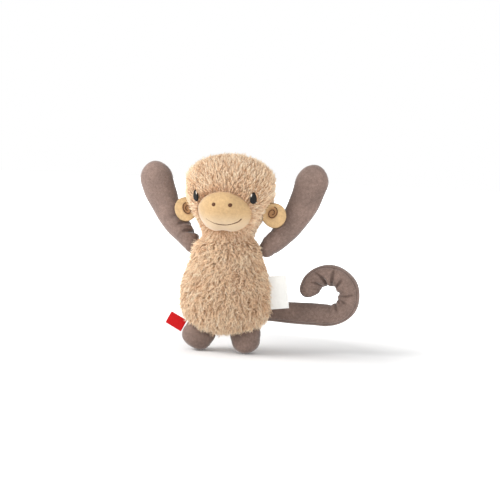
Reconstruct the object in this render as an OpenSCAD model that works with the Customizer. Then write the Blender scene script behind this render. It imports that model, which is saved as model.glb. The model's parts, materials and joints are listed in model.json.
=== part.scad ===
// Stuffed toy monkey: pile-fabric body and head, velour arms, legs, tail, muzzle and ears.
// It stands on its two feet, faces -Y, and its own left side is +X. Sizes are millimetres.

/* [Body] */
// Height of the body's underside above the floor
body_lift = 17.5; // [16:0.5:21]
// Height from the underside to the neck seam
body_height = 93.5; // [86:0.5:104]
// Width across the belly
belly_width = 90; // [80:1:100]
// Depth of the belly, front to back
belly_depth = 64; // [56:1:72]
// Height of the belly's widest line above the underside
belly_level = 38; // [32:1:46]
// Width across the shoulders
shoulder_width = 74; // [66:1:80]
// Depth at the shoulders
shoulder_depth = 54; // [50:1:60]
// Height over which the shoulders round in to the neck seam
shoulder_drop = 17; // [13:1:20]
// Width of the neck seam
neck_width = 53; // [46:1:58]
// Depth of the neck seam
neck_depth = 45; // [40:1:48]

/* [Head] */
// Height from the neck seam to the crown
head_height = 82.5; // [74:0.5:92]
// Width across the cheeks
head_width = 89; // [80:1:98]
// Depth of the head, front to back
head_depth = 68; // [60:1:76]
// Height of the crown's dome
crown_rise = 26; // [20:1:32]
// Height above the neck seam at which the cheeks reach full width
cheek_level = 46; // [40:1:50]
// Height above the neck seam at which the head reaches full depth
jaw_level = 32; // [26:1:40]

/* [Face] */
// Width of the muzzle
muzzle_width = 54; // [46:1:60]
// Height of the muzzle
muzzle_height = 39; // [34:1:44]
// Height of the muzzle's middle above the neck seam
muzzle_level = 26; // [24:0.5:30]
// How far the muzzle stands out from the face
muzzle_rise = 9; // [7:0.5:13]
// Distance between the middles of the eyes
eye_spacing = 57; // [52:1:64]
// Height of the eyes above the neck seam
eye_level = 40.5; // [38:0.5:46]
// Width of an eye
eye_width = 6.6; // [5:0.2:8]
// Height of an eye
eye_height = 11.2; // [9:0.2:13]
// How far the nostrils and the smile sit towards the toy's left
nose_shift = 1.5; // [0:0.1:2]
// Distance between the nostrils
nostril_spacing = 16.4; // [12:0.2:20]
// Height of the nostrils above the neck seam
nostril_level = 32.5; // [30:0.5:35]
// Diameter of a nostril
nostril_size = 3.6; // [2.4:0.2:5]
// Width of the smile
mouth_width = 34.8; // [26:0.2:38]
// Height of the smile's ends above the neck seam
mouth_level = 18.8; // [17:0.2:22]
// How far the smile sags between its ends
mouth_sag = 6; // [3:0.2:7]

/* [Ears] */
// Diameter of an ear
ear_size = 23; // [19:0.5:26]
// Thickness of an ear at its middle
ear_thickness = 5.2; // [4:0.2:6]
// Height of the ear's root above the neck seam
ear_level = 28.4; // [26:0.2:34]
// Distance from the head's side to the middle of the ear
ear_reach = 6.3; // [5:0.1:8]
// How far the ears sit in front of the head's side seam
ear_forward = 6; // [4:0.5:9]

/* [Arms] */
// Length of an arm from its pivot to the fingertips
arm_length = 95; // [86:1:104]
// Width of an arm at the shoulder
arm_root_width = 19.5; // [16:0.5:22]
// Width of a hand
hand_width = 33; // [28:0.5:36]
// Depth of a hand, front to back
hand_depth = 22; // [18:0.5:25]
// Length of the hand's rounded end
hand_rounding = 20; // [14:1:26]
// Height of the shoulder seam above the underside
shoulder_level = 83.5; // [80:0.5:86]
// How far the arms lean backwards
arm_tilt = 13; // [10:1:16]
// Outward lean of the left arm at its root
left_arm_lean = 41; // [38:1:46]
// How much the left arm bends upwards along its length
left_arm_bend = 32; // [26:1:40]
// Outward lean of the right arm at its root
right_arm_lean = 42; // [39:1:46]
// How much the right arm bends upwards along its length
right_arm_bend = 23; // [18:1:30]

/* [Legs] */
// Width of a leg
leg_width = 31; // [28:0.5:33]
// Depth of a leg, front to back
leg_depth = 26; // [23:0.5:27]
// Length of the foot's rounded end
foot_rounding = 12; // [10:0.5:13]
// How far the legs sit behind the middle of the body
leg_back = 3; // [1:0.5:5]
// Distance of the left hip from the middle of the body
left_hip_out = 20; // [18:0.5:23]
// Outward splay of the left leg
left_leg_splay = 8; // [4:1:14]
// Distance of the right hip from the middle of the body
right_hip_out = 25.5; // [24:0.5:28]
// Outward splay of the right leg
right_leg_splay = 34; // [26:1:36]

/* [Tail] */
// Width of the tail along its straight run
tail_width = 18; // [15:0.5:20]
// Width of the tail in its curl
tail_curl_width = 20.5; // [17:0.5:22]
// Depth of the tail, front to back
tail_depth = 16; // [13:0.5:17.5]
// Length of the straight run from the pivot to the curl
tail_run = 72; // [62:1:84]
// Radius of the curl at the middle of the tail
tail_curl_radius = 19.7; // [18.5:0.1:23]
// How far round the tail curls
tail_curl_turn = 280; // [240:2:286]
// Height of the tail's root above the underside
tail_level = 22.5; // [20:0.5:26]
// Angle of the tail's root round the back of the body, from the left side
tail_root_angle = 60; // [54:1:70]

/* [Labels] */
// Width of the side label, outwards from its seam
side_label_width = 15; // [11:0.5:18]
// Height of the side label
side_label_height = 32; // [26:1:36]
// Height of the side label's middle above the underside
side_label_level = 43.5; // [40:0.5:47]
// Width of the hip label, outwards from its seam
hip_label_width = 15; // [11:0.5:17]
// Height of the hip label
hip_label_height = 12.5; // [10:0.5:14]
// Height of the hip label's upper inner corner above the underside
hip_label_level = 12; // [10:0.5:14]
// How far the hip label points upwards
hip_label_tilt = 27; // [15:1:35]
// Thickness of one ply of a label's ribbon
ribbon = 0.35; // [0.25:0.05:0.45]

/* [Fabric] */
// Thickness of the pile fabric
pile_fabric = 4; // [3:0.2:5]
// Thickness of the velour
velour = 1.2; // [0.8:0.1:1.6]
// Thickness of an embroidered patch
embroidery = 0.9; // [0.6:0.1:1.2]
// Diameter of an embroidery cord
thread = 1.2; // [0.8:0.1:1.6]
// Space round a filling
filling_gap = 0.8; // [0.6:0.1:1.2]
// Space between pieces that lie on each other
seat_gap = 0.3; // [0.2:0.05:0.5]

/* [Hidden] */

// Colours of the materials
PILE = "#cfa987";
TAUPE = "#8c766b";
GOLD = "#e0bd8f";
FIBRE = "#f1efe8";
BLACK = "#1d1917";
BROWN = "#4a2f1f";
WHITE = "#f2f0eb";
RED = "#cc2026";

// Radius of the small ring that closes a form at its ends
POLE = 0.4;
// Exponents of the rounded ends: 2 is an ellipse, more is squarer
SEAT_SQUARENESS = 3;
CROWN_SQUARENESS = 2.1;
FOOT_SQUARENESS = 2.6;
HAND_SQUARENESS = 2;
// Exponent of the muzzle's dome
MUZZLE_DOME = 0.6;
// Share of the muzzle's outline that its filling takes
MUZZLE_FILLING_SHARE = 0.9;
// Step used to measure a slope
SLOPE_STEP = 0.5;
// How deep a foot is cut flat
SOLE_CUT = 0.5;
// Share of a limb root's radius that sinks into the body
ARM_SUNK = 0.45;
LEG_SUNK = 0.58;
TAIL_SUNK = 0.35;
// Size of the body's faces in a limb's dish, as a share of its largest face
ARM_DISH_FACE = 0.75;
LEG_DISH_FACE = 1.1;
TAIL_DISH_FACE = 1.04;
// Angle of the shoulder seams behind the side seams, round the body
SHOULDER_BACK = 13;
// How far a leg's round root is larger than half the leg's depth
LEG_ROOT_MARGIN = 0.5;
// Radius of the roll of fabric at an ear's root
EAR_ROLL = 1.8;
// Share of an ear's root line that the roll takes
EAR_ROLL_SHARE = 0.9;
// Turns and radii of the spiral in an ear
SPIRAL_TURNS = 1.7;
SPIRAL_INNER = 1.1;
SPIRAL_OUTER = 5.6;
// Size of an eye's highlight as a share of the eye, and its place in it
HIGHLIGHT_SHARE = 0.36;
HIGHLIGHT_SHIFT = 0.4;

// Rows and columns of the skins: panels have the columns of a half, fillings of a whole ring,
// and the body has its rows twice, below and above the belly's widest line
BODY_ROWS = 9;
BODY_COLUMNS = 13;
HEAD_ROWS = 12;
HEAD_COLUMNS = 9;
ROOT_ROWS = 4;
ARM_ROWS = 8;
LEG_ROWS = 5;
TAIL_RUN_ROWS = 4;
TAIL_CURL_ROWS = 16;
LIMB_COLUMNS = 6;
TAIL_COLUMNS = 5;
FILLING_COLUMNS = 12;
PAD_COLUMNS = 14;
PAD_ROWS = 3;
MUZZLE_ROWS = 5;
CORD_SIDES = 6;
SPIRAL_STEPS = 34;
MOUTH_STEPS = 12;

FLOOR_SIZE = 1000;
FRONT = [180, 360];
BACK = [0, 180];
WHOLE = [0, 360];
LEFT = 1;
RIGHT = -1;

neck_z = body_lift + body_height;
head_z = neck_z + seat_gap;

// Small functions

function mix(a, b, t) = a + (b - a) * t;
function unit(v) = v / norm(v);
function flat(grid) = [for (row = grid) each row];
function reversed(list) = [for (i = [len(list) - 1:-1:0]) list[i]];
// Smooth step from 0 to 1
function ease(t) = 0.5 - 0.5 * cos(180 * max(0, min(1, t)));
// Share of the full size at a distance from a rounded end
function rounding(d, reach, n) = pow(1 - pow(1 - max(0, min(1, d / reach)), n), 1 / n);
// Shares from 0 to 1, closer together at both ends
function crowded(count) = [for (i = [0:count]) ease(i / count)];
// Shares from 0 to 1, closer together at the far end
function tapering(count) = [for (i = [0:count]) mix(i / count, sin(90 * i / count), 0.7)];

// Skins: a station is a middle and two half axes, and a skin is a grid of points round stations

function skin(stations, span, columns) = [
    for (s = stations) [
        for (k = [0:columns])
            let (a = mix(span[0], span[1], k / columns))
            s[0] + s[1] * cos(a) + s[2] * sin(a)
    ]
];
function closed_skin(stations, columns) = [
    for (row = skin(stations, WHOLE, columns)) [for (k = [0:columns - 1]) row[k]]
];

// A dish is a ball pressed into a skin: [middle, radius, size of its faces as a share of the skin's
// largest face]. Points inside it move out, so far that the flat faces between them clear the ball
function pushed(p, dish, grow, face) =
    let (v = p - dish[0], r = norm([dish[1] + grow, dish[2] * face]))
    norm(v) < r ? dish[0] + unit(v) * r : p;
function dished(p, dishes, grow, face, i = 0) =
    i == len(dishes) ? p : dished(pushed(p, dishes[i], grow, face), dishes, grow, face, i + 1);
function dished_skin(grid, dishes, grow, face) = [
    for (row = grid) [for (p = row) dished(p, dishes, grow, face)]
];

// Two triangles of a four-cornered face
function quad(a, b, c, d) = [[a, b, c], [a, c, d]];

// A sheet of fabric between an outer and an inner skin
module sheet(outer, inner) {
    rows = len(outer) - 1;
    columns = len(outer[0]) - 1;
    width = columns + 1;
    back = (rows + 1) * width;
    faces = [
        for (i = [0:rows - 1], k = [0:columns - 1])
            let (a = i * width + k, b = a + width)
            each concat(quad(a, b, b + 1, a + 1), quad(back + a, back + a + 1, back + b + 1, back + b)),
        for (i = [0:rows - 1])
            let (a = i * width, b = a + width, c = a + columns, d = b + columns)
            each concat(quad(b, a, back + a, back + b), quad(d, back + d, back + c, c)),
        for (k = [0:columns - 1])
            let (a = k, b = rows * width + k)
            each concat(quad(a, a + 1, back + a + 1, back + a), quad(b + 1, b, back + b, back + b + 1))
    ];
    polyhedron(concat(flat(outer), flat(inner)), faces);
}

// A solid through closed rings, closed at both ends
module loft(rings) {
    rows = len(rings) - 1;
    columns = len(rings[0]);
    last = rows * columns;
    faces = [
        for (i = [0:rows - 1], k = [0:columns - 1])
            let (a = i * columns, b = a + columns, n = (k + 1) % columns)
            each quad(a + k, b + k, b + n, a + n),
        for (k = [1:columns - 2]) [0, k, k + 1],
        for (k = [1:columns - 2]) [last, last + k + 1, last + k]
    ];
    polyhedron(flat(rings), faces);
}

// A round cord along a path that lies on a surface facing -Y
module cord(path, radius) {
    count = len(path) - 1;
    stations = [
        for (i = [0:count])
            let (
                ahead = unit(path[min(i + 1, count)] - path[max(i - 1, 0)]),
                across = unit(cross([0, 1, 0], ahead))
            )
            [path[i], across * radius, cross(ahead, across) * radius]
    ];
    loft(closed_skin(stations, CORD_SIDES));
}

// Body and head, which stand upright

function upright(z, half_width, half_depth) =
    [[0, 0, z], [max(POLE, half_width), 0, 0], [0, max(POLE, half_depth), 0]];

function body_half(h, belly, shoulder, neck) =
    let (
        dome_start = body_height - shoulder_drop,
        dome_reach = shoulder_drop / sqrt(1 - pow(neck / shoulder, 2)),
        trunk = mix(belly, shoulder, ease((h - belly_level) / (dome_start - belly_level)))
    )
    trunk * rounding(h, belly_level, SEAT_SQUARENESS) * sqrt(1 - pow(max(0, h - dome_start) / dome_reach, 2));
function body_half_width(h) = body_half(h, belly_width / 2, shoulder_width / 2, neck_width / 2);
function body_half_depth(h) = body_half(h, belly_depth / 2, shoulder_depth / 2, neck_depth / 2);
// Height of the rounded underside at a share of the belly's radius
function seat_level(share) =
    belly_level * (1 - pow(1 - pow(share, SEAT_SQUARENESS), 1 / SEAT_SQUARENESS));
function body_levels(rows) = concat(
    [for (i = [0:rows - 1]) seat_level(sin(90 * i / rows))],
    [for (i = [0:rows]) mix(belly_level, body_height, sin(90 * i / rows))]
);
function body_stations(rows, inset) = [
    for (h = body_levels(rows))
        upright(
            body_lift + mix(inset, body_height - inset, h / body_height),
            body_half_width(h) - inset,
            body_half_depth(h) - inset
        ),
    upright(neck_z - inset, POLE, POLE)
];
function body_surface(h, a) = [body_half_width(h) * cos(a), body_half_depth(h) * sin(a), body_lift + h];
function body_normal(h, a) = unit(cross(
    body_surface(h, a + SLOPE_STEP) - body_surface(h, a - SLOPE_STEP),
    body_surface(h + SLOPE_STEP, a) - body_surface(h - SLOPE_STEP, a)
));
// Lean of the body's side outline from upright
function body_side_slope(h) =
    atan2(body_half_width(h + SLOPE_STEP) - body_half_width(h - SLOPE_STEP), 2 * SLOPE_STEP);

// Underside of the body at a place seen from above
function underside(x, y) =
    [x, y, body_lift + seat_level(norm([x / (belly_width / 2), y / (belly_depth / 2)]))];
function underside_normal(x, y) = unit(cross(
    underside(x, y + SLOPE_STEP) - underside(x, y - SLOPE_STEP),
    underside(x + SLOPE_STEP, y) - underside(x - SLOPE_STEP, y)
));

function head_half(h, head, neck, level) =
    mix(neck, head, ease(h / level)) * rounding(head_height - h, crown_rise, CROWN_SQUARENESS);
function head_half_width(h) = head_half(h, head_width / 2, neck_width / 2, cheek_level);
function head_half_depth(h) = head_half(h, head_depth / 2, neck_depth / 2, jaw_level);
function head_stations(rows, inset) = [
    upright(head_z + inset, POLE, POLE),
    for (t = crowded(rows))
        let (h = t * head_height)
        upright(
            head_z + mix(inset, head_height - inset, t),
            head_half_width(h) - inset,
            head_half_depth(h) - inset
        )
];
// Front of the head at a place seen from the front
function head_front(x, z) =
    let (h = z - head_z)
    -head_half_depth(h) * sqrt(max(0, 1 - pow(x / head_half_width(h), 2)));
// Side of the head at the depth of the ears
function head_side(h) =
    head_half_width(h) * sqrt(1 - pow(ear_forward / head_half_depth(h), 2));

// Limbs: [pivot, direction at a length, depth direction, half width at a length, half depth at a length,
// radius of the round root, length, shares of the length that get a row]

function limb_lengths(limb, inset) =
    let (root = limb[5] - inset)
    concat(
        [for (i = [0:ROOT_ROWS - 1]) -root * cos(90 * i / ROOT_ROWS)],
        [for (t = limb[7]) t * (limb[6] - inset)]
    );
function spine(lengths, direction, start) = [
    for (
        i = 0, p = start;
        i < len(lengths);
        p = i + 1 < len(lengths)
            ? p + (lengths[i + 1] - lengths[i]) * direction((lengths[i] + lengths[i + 1]) / 2)
            : p,
        i = i + 1
    ) p
];
function limb_half(limb, half, s, inset) =
    let (root = limb[5] - inset, run = s * limb[6] / (limb[6] - inset))
    max(POLE, s < 0 ? sqrt(max(0, root * root - s * s)) : half(run) - inset);
function limb_stations(limb, inset) =
    let (
        direction = limb[1],
        lengths = limb_lengths(limb, inset),
        start = limb[0] + lengths[0] * direction(0),
        middles = spine(lengths, direction, start)
    )
    [
        for (i = [0:len(lengths) - 1])
            let (s = lengths[i], across = cross(limb[2], direction(max(0, s))))
            [
                middles[i],
                across * limb_half(limb, limb[3], s, inset),
                limb[2] * limb_half(limb, limb[4], s, inset)
            ]
    ];
function limb_skin(limb, span, columns, inset) = skin(limb_stations(limb, inset), span, columns);

module limb_panel(limb, span, columns) {
    sheet(limb_skin(limb, span, columns, 0), limb_skin(limb, span, columns, velour));
}
module limb_filling(limb, columns) {
    loft(closed_skin(limb_stations(limb, velour + filling_gap), columns));
}

arm_root = arm_root_width / 2;
function shoulder_angle(side) = side == LEFT ? SHOULDER_BACK : 180 - SHOULDER_BACK;
function shoulder_pivot(side) =
    body_surface(shoulder_level, shoulder_angle(side))
    + body_normal(shoulder_level, shoulder_angle(side)) * arm_root * (1 - ARM_SUNK);
function arm(side, lean, bend) = [
    shoulder_pivot(side),
    function (s)
        let (a = lean - bend * ease(s / arm_length))
        [side * sin(a), cos(a) * sin(arm_tilt), cos(a) * cos(arm_tilt)],
    [0, cos(arm_tilt), -sin(arm_tilt)],
    function (s)
        mix(arm_root, hand_width / 2, ease(s / (arm_length - hand_rounding / 2)))
        * rounding(arm_length - s, hand_rounding, HAND_SQUARENESS),
    function (s)
        mix(arm_root, hand_depth / 2, ease(s / (arm_length - hand_rounding / 2)))
        * rounding(arm_length - s, hand_rounding, HAND_SQUARENESS),
    arm_root,
    arm_length,
    tapering(ARM_ROWS)
];
left_arm = arm(LEFT, left_arm_lean, left_arm_bend);
right_arm = arm(RIGHT, right_arm_lean, right_arm_bend);

leg_root = leg_depth / 2 + LEG_ROOT_MARGIN;
function hip_pivot(side, out) =
    underside(side * out, leg_back) + underside_normal(side * out, leg_back) * leg_root * (1 - LEG_SUNK);
// How far a rounded foot reaches below the start of its rounding, when splayed
function foot_drop(splay) =
    let (m = FOOT_SQUARENESS / (FOOT_SQUARENESS - 1))
    pow(pow(leg_width / 2 * sin(splay), m) + pow(foot_rounding * cos(splay), m), 1 / m);
function leg_length(pivot, splay) =
    foot_rounding + (pivot.z + SOLE_CUT - foot_drop(splay)) / cos(splay);
function leg(side, out, splay) =
    let (pivot = hip_pivot(side, out), length = leg_length(pivot, splay))
    [
        pivot,
        function (s) [side * sin(splay), 0, -cos(splay)],
        [0, 1, 0],
        function (s)
            mix(leg_root, leg_width / 2, ease(s / (length - foot_rounding)))
            * rounding(length - s, foot_rounding, FOOT_SQUARENESS),
        function (s)
            mix(leg_root, leg_depth / 2, ease(s / (length - foot_rounding)))
            * rounding(length - s, foot_rounding, FOOT_SQUARENESS),
        leg_root,
        length,
        tapering(LEG_ROWS)
    ];
left_leg = leg(LEFT, left_hip_out, left_leg_splay);
right_leg = leg(RIGHT, right_hip_out, right_leg_splay);

tail_root = tail_width / 2;
tail_curl_length = tail_curl_radius * tail_curl_turn * PI / 180;
tail_length = tail_run + tail_curl_length;
tail_run_share = tail_run / tail_length;
tail_shares = concat(
    [for (i = [0:TAIL_RUN_ROWS - 1]) tail_run_share * i / TAIL_RUN_ROWS],
    [for (t = tapering(TAIL_CURL_ROWS)) mix(tail_run_share, 1, t)]
);
tail_pivot = body_surface(tail_level, tail_root_angle)
    + body_normal(tail_level, tail_root_angle) * tail_root * (1 - TAIL_SUNK);
tail = [
    tail_pivot,
    function (s)
        let (a = tail_curl_turn * max(0, min(1, (s - tail_run) / tail_curl_length)))
        [cos(a), 0, sin(a)],
    [0, 1, 0],
    function (s)
        mix(tail_root, tail_curl_width / 2, ease(s / tail_run))
        * rounding(tail_length - s, tail_root, HAND_SQUARENESS),
    function (s)
        mix(tail_root, tail_depth / 2, ease(s / tail_root))
        * rounding(tail_length - s, tail_root, HAND_SQUARENESS),
    tail_root,
    tail_length,
    tail_shares
];

// Dishes in the body that take the limbs' rounded roots
function dish(limb, face_share) = [limb[0], limb[5] + seat_gap, face_share];
dishes = [
    dish(left_arm, ARM_DISH_FACE),
    dish(right_arm, ARM_DISH_FACE),
    dish(left_leg, LEG_DISH_FACE),
    dish(right_leg, LEG_DISH_FACE),
    dish(tail, TAIL_DISH_FACE)
];
// Half the diagonal of the largest face in the body's skin
function body_face(rows, columns) = norm([
    PI * (belly_width + belly_depth) / 4 / columns,
    belly_level - seat_level(sin(90 * (rows - 1) / rows))
]) / 2;

module body_panel(span) {
    face = body_face(BODY_ROWS, BODY_COLUMNS);
    outer = skin(body_stations(BODY_ROWS, 0), span, BODY_COLUMNS);
    inner = skin(body_stations(BODY_ROWS, pile_fabric), span, BODY_COLUMNS);
    sheet(dished_skin(outer, dishes, 0, face), dished_skin(inner, dishes, pile_fabric, face));
}
module head_panel(span) {
    sheet(
        skin(head_stations(HEAD_ROWS, 0), span, HEAD_COLUMNS),
        skin(head_stations(HEAD_ROWS, pile_fabric), span, HEAD_COLUMNS)
    );
}

// Face: pads that lie on a surface facing -Y, given as functions of x and z

function pad_ring(middle, half_width, half_height, share, depth_at) = [
    for (k = [0:PAD_COLUMNS - 1])
        let (
            a = 360 * k / PAD_COLUMNS,
            x = middle.x + max(POLE, half_width * share) * cos(a),
            z = middle.y - max(POLE, half_height * share) * sin(a)
        )
        [x, depth_at(x, z), z]
];
module pad(middle, half_width, half_height, front, back, rows = PAD_ROWS) {
    shares = [for (i = [0:rows]) sin(90 * i / rows)];
    loft(concat(
        [for (s = shares) pad_ring(middle, half_width, half_height, s, front)],
        [for (s = reversed(shares)) pad_ring(middle, half_width, half_height, s, back)]
    ));
}

muzzle_middle = [0, head_z + muzzle_level];
function oval(x, z, middle, width, height) =
    pow(2 * (x - middle.x) / width, 2) + pow(2 * (z - middle.y) / height, 2);
function muzzle_front(x, z) =
    head_front(x, z) - seat_gap - velour
    - muzzle_rise * pow(max(0, 1 - oval(x, z, muzzle_middle, muzzle_width, muzzle_height)), MUZZLE_DOME);

function eye_middle(side) = [side * eye_spacing / 2, head_z + eye_level];
function eye_front(x, z, side) =
    head_front(x, z) - seat_gap
    - embroidery * (0.4 + 0.6 * sqrt(max(0, 1 - oval(x, z, eye_middle(side), eye_width, eye_height))));
function highlight_middle(side) =
    eye_middle(side) + HIGHLIGHT_SHIFT * [-side * eye_width, eye_height] / 2;

module eye(side) {
    pad(
        eye_middle(side), eye_width / 2, eye_height / 2,
        function (x, z) eye_front(x, z, side),
        function (x, z) head_front(x, z) - seat_gap
    );
}
module highlight(side) {
    pad(
        highlight_middle(side), HIGHLIGHT_SHARE * eye_width / 2, HIGHLIGHT_SHARE * eye_height / 2,
        function (x, z) eye_front(x, z, side) - seat_gap - embroidery / 2,
        function (x, z) eye_front(x, z, side) - seat_gap
    );
}
module nostril(side) {
    middle = [nose_shift + side * nostril_spacing / 2, head_z + nostril_level];
    pad(
        middle, nostril_size / 2, nostril_size / 2,
        function (x, z) muzzle_front(x, z) - seat_gap - embroidery,
        function (x, z) muzzle_front(x, z) - seat_gap
    );
}

// Ears stand on a root line along the side of the head, and their own +X points out from it

ear_lean = atan2(head_side(ear_level + SLOPE_STEP) - head_side(ear_level - SLOPE_STEP), 2 * SLOPE_STEP);
ear_root = [head_side(ear_level), -ear_forward, head_z + ear_level];
ear_hinge = EAR_ROLL + seat_gap;
ear_radius = ear_size / 2;
ear_half = ear_thickness / 2;
// Radius of the ball whose cap forms one face of an ear
ear_ball = (pow(ear_radius, 2) + pow(ear_half, 2)) / (2 * ear_half);
ear_roll_length = 2 * EAR_ROLL_SHARE * sqrt(pow(ear_radius, 2) - pow(ear_reach - ear_hinge, 2));
function ear_face(r) = sqrt(pow(ear_ball, 2) - r * r) - ear_ball + ear_half;

module at_ear(side) {
    mirror([side == RIGHT ? 1 : 0, 0, 0])
        translate(ear_root)
            rotate([0, ear_lean, 0])
                children();
}
// Half of an ear: facing 1 is the front half, -1 the back half
module ear_cap(facing) {
    intersection() {
        translate([ear_reach, 0, 0])
            rotate([90 * facing, 0, 0])
                rotate_extrude($fn = 64)
                    intersection() {
                        translate([0, ear_half - ear_ball])
                            circle(ear_ball, $fn = 160);
                        square([ear_radius, ear_half]);
                    }
        translate([ear_hinge, -ear_size, -ear_size])
            cube(2 * ear_size);
    }
    intersection() {
        translate([ear_hinge, 0, -ear_roll_length / 2])
            cylinder(r = EAR_ROLL, h = ear_roll_length, $fn = 48);
        translate([-ear_size, facing > 0 ? -2 * ear_size : 0, -ear_size])
            cube(2 * ear_size);
    }
}
module ear_spiral() {
    cord(
        [
            for (i = [0:SPIRAL_STEPS])
                let (
                    t = i / SPIRAL_STEPS,
                    a = 360 * SPIRAL_TURNS * t,
                    r = mix(SPIRAL_INNER, SPIRAL_OUTER, t)
                )
                [ear_reach + r * cos(a), -ear_face(r) - seat_gap - thread / 2, r * sin(a)]
        ],
        thread / 2
    );
}

// Labels: a folded ribbon whose own +X points out from its seam

module folded_ribbon(width, height) {
    fold = 1.5 * ribbon;
    translate([0, 0, -height / 2])
        linear_extrude(height)
            difference() {
                union() {
                    translate([0, -fold])
                        square([width - fold, 2 * fold]);
                    translate([width - fold, 0])
                        circle(fold, $fn = 32);
                }
                translate([-fold, ribbon - fold])
                    square([width, 2 * (fold - ribbon)]);
                translate([width - fold, 0])
                    circle(fold - ribbon, $fn = 32);
            }
}
side_label_root = [body_half_width(side_label_level) + seat_gap, 0, body_lift + side_label_level];
side_label_lean = body_side_slope(side_label_level);
hip_label_root = body_surface(hip_label_level, 180) + body_normal(hip_label_level, 180) * seat_gap;

// The frame's origin: on the floor under the middle of the outer box

right_hand_points = flat(limb_skin(right_arm, WHOLE, 2 * LIMB_COLUMNS, 0));
tail_points = flat(limb_skin(tail, WHOLE, 2 * TAIL_COLUMNS, 0));
muzzle_points = pad_ring(
    muzzle_middle, muzzle_width / 2, muzzle_height / 2, 0.1, function (x, z) muzzle_front(x, z)
);
frame_origin = [
    (min([for (p = right_hand_points) p.x]) + max([for (p = tail_points) p.x])) / 2,
    (min([for (p = muzzle_points) p.y]) + max([for (p = tail_points) p.y])) / 2,
    0
];
module in_frame() {
    translate(-frame_origin)
        children();
}
echo(frame_origin = frame_origin);
echo(shoulders = [left_arm[0], right_arm[0]] - [frame_origin, frame_origin]);
echo(hips = [left_leg[0], right_leg[0]] - [frame_origin, frame_origin]);
echo(tail_pivot = tail_pivot - frame_origin);
echo(ear_root = ear_root, ear_lean = ear_lean, ear_hinge = ear_hinge);
echo(side_label_root = side_label_root - frame_origin, side_label_lean = side_label_lean);
echo(hip_label_root = hip_label_root - frame_origin);

// Sub-parts

module body_front_panel() {
    color(PILE) in_frame() body_panel(FRONT);
}
module body_back_panel() {
    color(PILE) in_frame() body_panel(BACK);
}
module body_filling() {
    rows = round(BODY_ROWS / 2);
    inset = pile_fabric + filling_gap;
    face = body_face(rows, FILLING_COLUMNS / 2);
    color(FIBRE) in_frame()
        loft(dished_skin(closed_skin(body_stations(rows, inset), FILLING_COLUMNS), dishes, inset, face));
}
module side_label() {
    color(WHITE) in_frame()
        translate(side_label_root)
            rotate([0, side_label_lean, 0])
                folded_ribbon(side_label_width, side_label_height);
}
module hip_label() {
    color(RED) in_frame()
        translate(hip_label_root)
            rotate([0, 180 + hip_label_tilt, 0])
                translate([0, 0, hip_label_height / 2])
                    folded_ribbon(hip_label_width, hip_label_height);
}
module head_front_panel() {
    color(PILE) in_frame() head_panel(FRONT);
}
module head_back_panel() {
    color(PILE) in_frame() head_panel(BACK);
}
module head_filling() {
    color(FIBRE) in_frame()
        loft(closed_skin(head_stations(round(HEAD_ROWS / 2), pile_fabric + filling_gap), FILLING_COLUMNS));
}
module muzzle_panel() {
    color(GOLD) in_frame()
        pad(
            muzzle_middle, muzzle_width / 2, muzzle_height / 2,
            function (x, z) muzzle_front(x, z),
            function (x, z) muzzle_front(x, z) + velour,
            MUZZLE_ROWS
        );
}
module muzzle_filling() {
    color(FIBRE) in_frame()
        pad(
            muzzle_middle,
            MUZZLE_FILLING_SHARE * muzzle_width / 2,
            MUZZLE_FILLING_SHARE * muzzle_height / 2,
            function (x, z) muzzle_front(x, z) + velour + filling_gap,
            function (x, z) head_front(x, z) - filling_gap
        );
}
module left_eye() {
    color(BLACK) in_frame() eye(LEFT);
}
module right_eye() {
    color(BLACK) in_frame() eye(RIGHT);
}
module eye_highlights() {
    color(WHITE) in_frame()
        for (side = [LEFT, RIGHT])
            highlight(side);
}
module nostrils() {
    color(BROWN) in_frame()
        for (side = [LEFT, RIGHT])
            nostril(side);
}
module mouth_stitch() {
    color(BROWN) in_frame()
        cord(
            [
                for (i = [0:MOUTH_STEPS])
                    let (
                        t = 2 * i / MOUTH_STEPS - 1,
                        x = nose_shift + t * mouth_width / 2,
                        z = head_z + mouth_level - mouth_sag * (1 - t * t)
                    )
                    [x, muzzle_front(x, z) - seat_gap - thread / 2, z]
            ],
            thread / 2
        );
}
module left_ear_front() {
    color(GOLD) in_frame() at_ear(LEFT) ear_cap(1);
}
module left_ear_back() {
    color(GOLD) in_frame() at_ear(LEFT) ear_cap(-1);
}
module left_ear_spiral() {
    color(BROWN) in_frame() at_ear(LEFT) ear_spiral();
}
module right_ear_front() {
    color(GOLD) in_frame() at_ear(RIGHT) ear_cap(1);
}
module right_ear_back() {
    color(GOLD) in_frame() at_ear(RIGHT) ear_cap(-1);
}
module right_ear_spiral() {
    color(BROWN) in_frame() at_ear(RIGHT) ear_spiral();
}
module left_arm_front_panel() {
    color(TAUPE) in_frame() limb_panel(left_arm, FRONT, LIMB_COLUMNS);
}
module left_arm_back_panel() {
    color(TAUPE) in_frame() limb_panel(left_arm, BACK, LIMB_COLUMNS);
}
module left_arm_filling() {
    color(FIBRE) in_frame() limb_filling(left_arm, LIMB_COLUMNS);
}
module right_arm_front_panel() {
    color(TAUPE) in_frame() limb_panel(right_arm, FRONT, LIMB_COLUMNS);
}
module right_arm_back_panel() {
    color(TAUPE) in_frame() limb_panel(right_arm, BACK, LIMB_COLUMNS);
}
module right_arm_filling() {
    color(FIBRE) in_frame() limb_filling(right_arm, LIMB_COLUMNS);
}
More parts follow.
